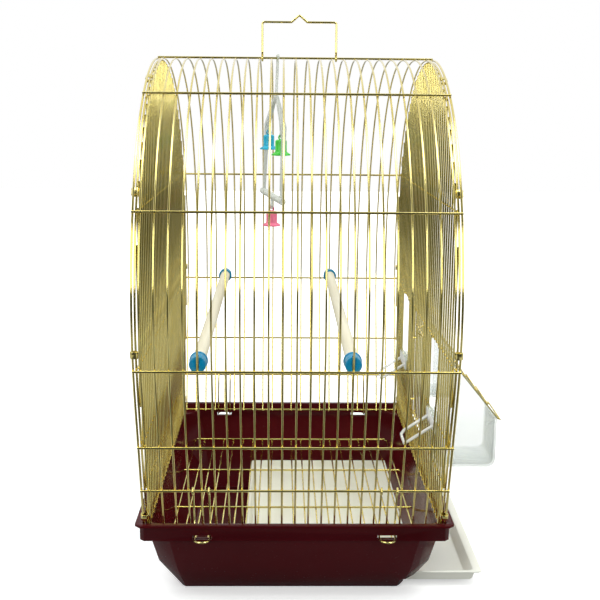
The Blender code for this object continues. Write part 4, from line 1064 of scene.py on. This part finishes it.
def scallop(radius, turn):
    """Pulls the flared mouth in between its lobes."""
    share = max(0.0, (radius - WAIST_R) / (MOUTH_R - WAIST_R))
    return 1.0 - share * LOBE_DEPTH * (1.0 - math.cos(LOBES * turn))


for colour, pivot in BELLS.items():
    top = -2 * LOOP_R
    foot = top - BELL_H
    profile = [(0, top), (CROWN_R - 0.0006, top), (CROWN_R + 0.0004, top - 0.0003), (WAIST_R, top - 0.0014)]
    profile += [(WAIST_R, foot + BELL_FLARE + 0.0006), (WAIST_R + 0.0005, foot + BELL_FLARE - 0.0003)]
    profile += [(MOUTH_R - 0.0006, foot + BELL_WALL + 0.0004), (MOUTH_R, foot + BELL_WALL), (MOUTH_R, foot)]
    profile += [(MOUTH_R - BELL_WALL, foot), (WAIST_R - BELL_WALL, foot + BELL_FLARE)]
    profile += [(WAIST_R - BELL_WALL, top - 2 * BELL_WALL), (0, top - 2 * BELL_WALL)]
    shell_mesh = in_paint(turned(profile, scallop), bell_paint[colour])
    shell_mesh.transform(Matrix.Translation(pivot))
    loop = [(x, 0, z) for x, z in ring_of((0, -LOOP_R), LOOP_R, start=0, end=345, steps=23)]
    loop_mesh = baked([(loop, True)], **{**WIRE, "Radius": LOOP_WIRE, "Material": bell_paint[colour]})
    loop_mesh.transform(Matrix.Translation(pivot) @ Matrix.Rotation(SWING_TURNED, 4, "Z"))
    name = f"bell_{colour}"
    dress(joined(f"{colour}_bell", [shell_mesh, loop_mesh]), name, name, name)

# %% [markdown]
# ## Wires that move
#
# The handle, the latches, the feeder lids and the door are each one or a few bent wires, so they are
# drawn as centre lines too. An eye is an open ring round the rail it turns on. Every piece rides on its
# own body.
#
# The handle is one wire: an eye, a straight leg, the grip with a small peak in the middle, and the same
# back.

# %% Handle
HANDLE_FEET = (-2.8 * PITCH_X, 3.4 * PITCH_X)
HANDLE_TOP = APEX_Z + 0.0355
HANDLE_PEAK, PEAK_HALF, HANDLE_BEND = 0.0070, 0.0080, 0.0022
HANDLE_EYE, LEG_STARTS = 0.0025, 2.4
left, right = HANDLE_FEET
crest = (left + right) / 2
eye = ring_of((0, APEX_Z), HANDLE_EYE, start=150, end=440, steps=24)
leg_low = APEX_Z + LEG_STARTS * HANDLE_EYE
line = [(left, y, z) for y, z in eye]
line += [(left, 0, leg_low), (left, 0, HANDLE_TOP), (crest - PEAK_HALF, 0, HANDLE_TOP)]
line += [(crest, 0, HANDLE_TOP + HANDLE_PEAK), (crest + PEAK_HALF, 0, HANDLE_TOP), (right, 0, HANDLE_TOP)]
line += [(right, 0, leg_low)] + [(right, y, z) for y, z in reversed(eye)]
grip = baked([(line, False)], **{**RAIL, "Bend": HANDLE_BEND})
dress(joined("bail", [grip]), "handle", "gold_wire", "handle")

# %% [markdown]
# A latch is a wire loop with an eye at each end, on rail e. Its legs run down along the bars, and below
# them it follows an arc about the rail, so that it slides through the slot in the tub's skirt when it
# turns. The round nose that shows outside lies on that arc too. One latch is drawn about its rail, in
# (across, out, up), and is then placed four times.

# %% A latch's line
LATCH_X, LATCH_HALF, LATCH_EYE = 0.0854, 0.00725, 0.0028
LATCH_END = (0.19049, 0.0654)
FOOT_STEPS, NOSE_STEPS = 6, 12
eye_y, eye_z = rails["e"]
reach = math.hypot(LATCH_END[0] - eye_y, LATCH_END[1] - eye_z)
eye = ring_of((0, 0), LATCH_EYE, start=-60, end=180 - math.degrees(LEAN), steps=20)
drop = math.sqrt(reach**2 - LATCH_EYE**2)
foot = (eye[-1][0] - drop * math.sin(LEAN), eye[-1][1] - drop * math.cos(LEAN))
first = math.degrees(math.atan2(foot[1], foot[0]))
last = math.degrees(math.atan2(LATCH_END[1] - eye_z, LATCH_END[0] - eye_y))
last -= 360 if last - first > 180 else 0
leg = eye + ring_of((0, 0), reach, first, last, FOOT_STEPS)
nose = []
for i in range(1, NOSE_STEPS):
    turn = math.pi * i / NOSE_STEPS
    angle = math.radians(last) + LATCH_HALF * math.sin(turn) / reach
    nose.append((-LATCH_HALF * math.cos(turn), reach * math.cos(angle), reach * math.sin(angle)))
near_leg = [(-LATCH_HALF, y, z) for y, z in leg]
latch_line = near_leg + nose + [(LATCH_HALF, y, z) for y, z in reversed(leg)]
print("latch arc is", round(reach, 4), "m from its rail")

# %% Four latches
for x_name, x_side in (("left", -1), ("right", 1)):
    for y_name, y_side in (("near", -1), ("far", 1)):
        line = [(x_side * LATCH_X + x, y_side * (eye_y + y), eye_z + z) for x, y, z in latch_line]
        name = f"latch_{x_name}_{y_name}"
        dress(joined("hook_" + name, [baked([(line, False)], **BAR)]), name, "gold_wire", name)

# %% [markdown]
# A feeder's lid is two wires that lean out over the cup, with four short wires welded across them on the
# outside. Each of the two ends in an eye round the opening's lintel.

# %% Feeder lids
LID_LEAN, LID_LENGTH, LID_EYE = math.radians(39.3), 0.09097, 0.0020
LID_HALF, LID_REACH, FEEDER_Y = 2 * PITCH_X, 0.0286, 9.5 * PITCH_X
LID_RUNGS, RUNG_LIES = (0.395, 0.593, 0.769, 0.9945), 0.0012
LID_WIRE = {**WIRE, "Radius": FINE_R}
along = (math.sin(LID_LEAN), -math.cos(LID_LEAN))
outward = (math.cos(LID_LEAN), math.sin(LID_LEAN))
lintel = rails["c"][1]
toward = math.degrees(math.atan2(along[1], along[0]))
for name, y in (("near", -FEEDER_Y), ("far", FEEDER_Y)):
    paths = []
    for half in (-LID_HALF, LID_HALF):
        ring = ring_of((OPEN_RAIL_X, lintel), LID_EYE, start=toward + 330, end=toward, steps=24)
        end = (OPEN_RAIL_X + along[0] * LID_LENGTH, lintel + along[1] * LID_LENGTH)
        paths.append(([(x, y + half, z) for x, z in ring] + [(end[0], y + half, end[1])], False))
    for share in LID_RUNGS:
        x = OPEN_RAIL_X + along[0] * LID_LENGTH * share + outward[0] * RUNG_LIES
        z = lintel + along[1] * LID_LENGTH * share + outward[1] * RUNG_LIES
        paths.append(([(x, y - LID_REACH, z), (x, y + LID_REACH, z)], False))
    lid = baked(paths, **LID_WIRE)
    dress(joined(f"wire_lid_{name}", [lid]), f"feeder_lid_{name}", "gold_wire", f"feeder_lid_{name}")

# %% [markdown]
# The door is a closed frame wire with five bars and one level bar near the top. It turns on the panel's
# bar at its far side, in two open eyes. A bent V of wire at its near side is its sprung catch.

# %% Door
DOOR_X, DOOR_HALF, DOOR_CLEAR = 0.1373, 3 * PITCH_X, 0.0020
DOOR_BEND, DOOR_EYE, EYE_FROM_END = 0.0015, 0.0020, 0.0150
LEVEL_BAR_DROP, CATCH_X = 0.0155, 0.1274
low, high = rails["e"][1] + DOOR_CLEAR, rails["c"][1] - DOOR_CLEAR
bar_z = high - LEVEL_BAR_DROP
corners = [(DOOR_X, -DOOR_HALF, low), (DOOR_X, DOOR_HALF, low)]
corners += [(DOOR_X, DOOR_HALF, high), (DOOR_X, -DOOR_HALF, high)]
frame_wire = baked([(corners, True)], **{**BAR, "Bend": DOOR_BEND})
paths = [([(DOOR_X, index * PITCH_X, z) for z in (low, high)], False) for index in range(-2, 3)]
paths.append(([(DOOR_X, y, bar_z) for y in (-DOOR_HALF, DOOR_HALF)], False))
catch_y = -2.5 * PITCH_X
catch_tip = (CATCH_X, catch_y, (high + bar_z) / 2)
paths.append(([(DOOR_X, catch_y, high), catch_tip, (DOOR_X, catch_y, bar_z)], False))
for z in (low + EYE_FROM_END, bar_z - EYE_FROM_END):
    ring = ring_of((PANEL_BAR_X, DOOR_HALF), DOOR_EYE, start=0, end=300, steps=20)
    paths.append(([(x, y, z) for x, y in ring], False))
door_wires = baked(paths, **LID_WIRE)
dress(joined("wire_door", [frame_wire, door_wires]), "door", "gold_wire", "door")
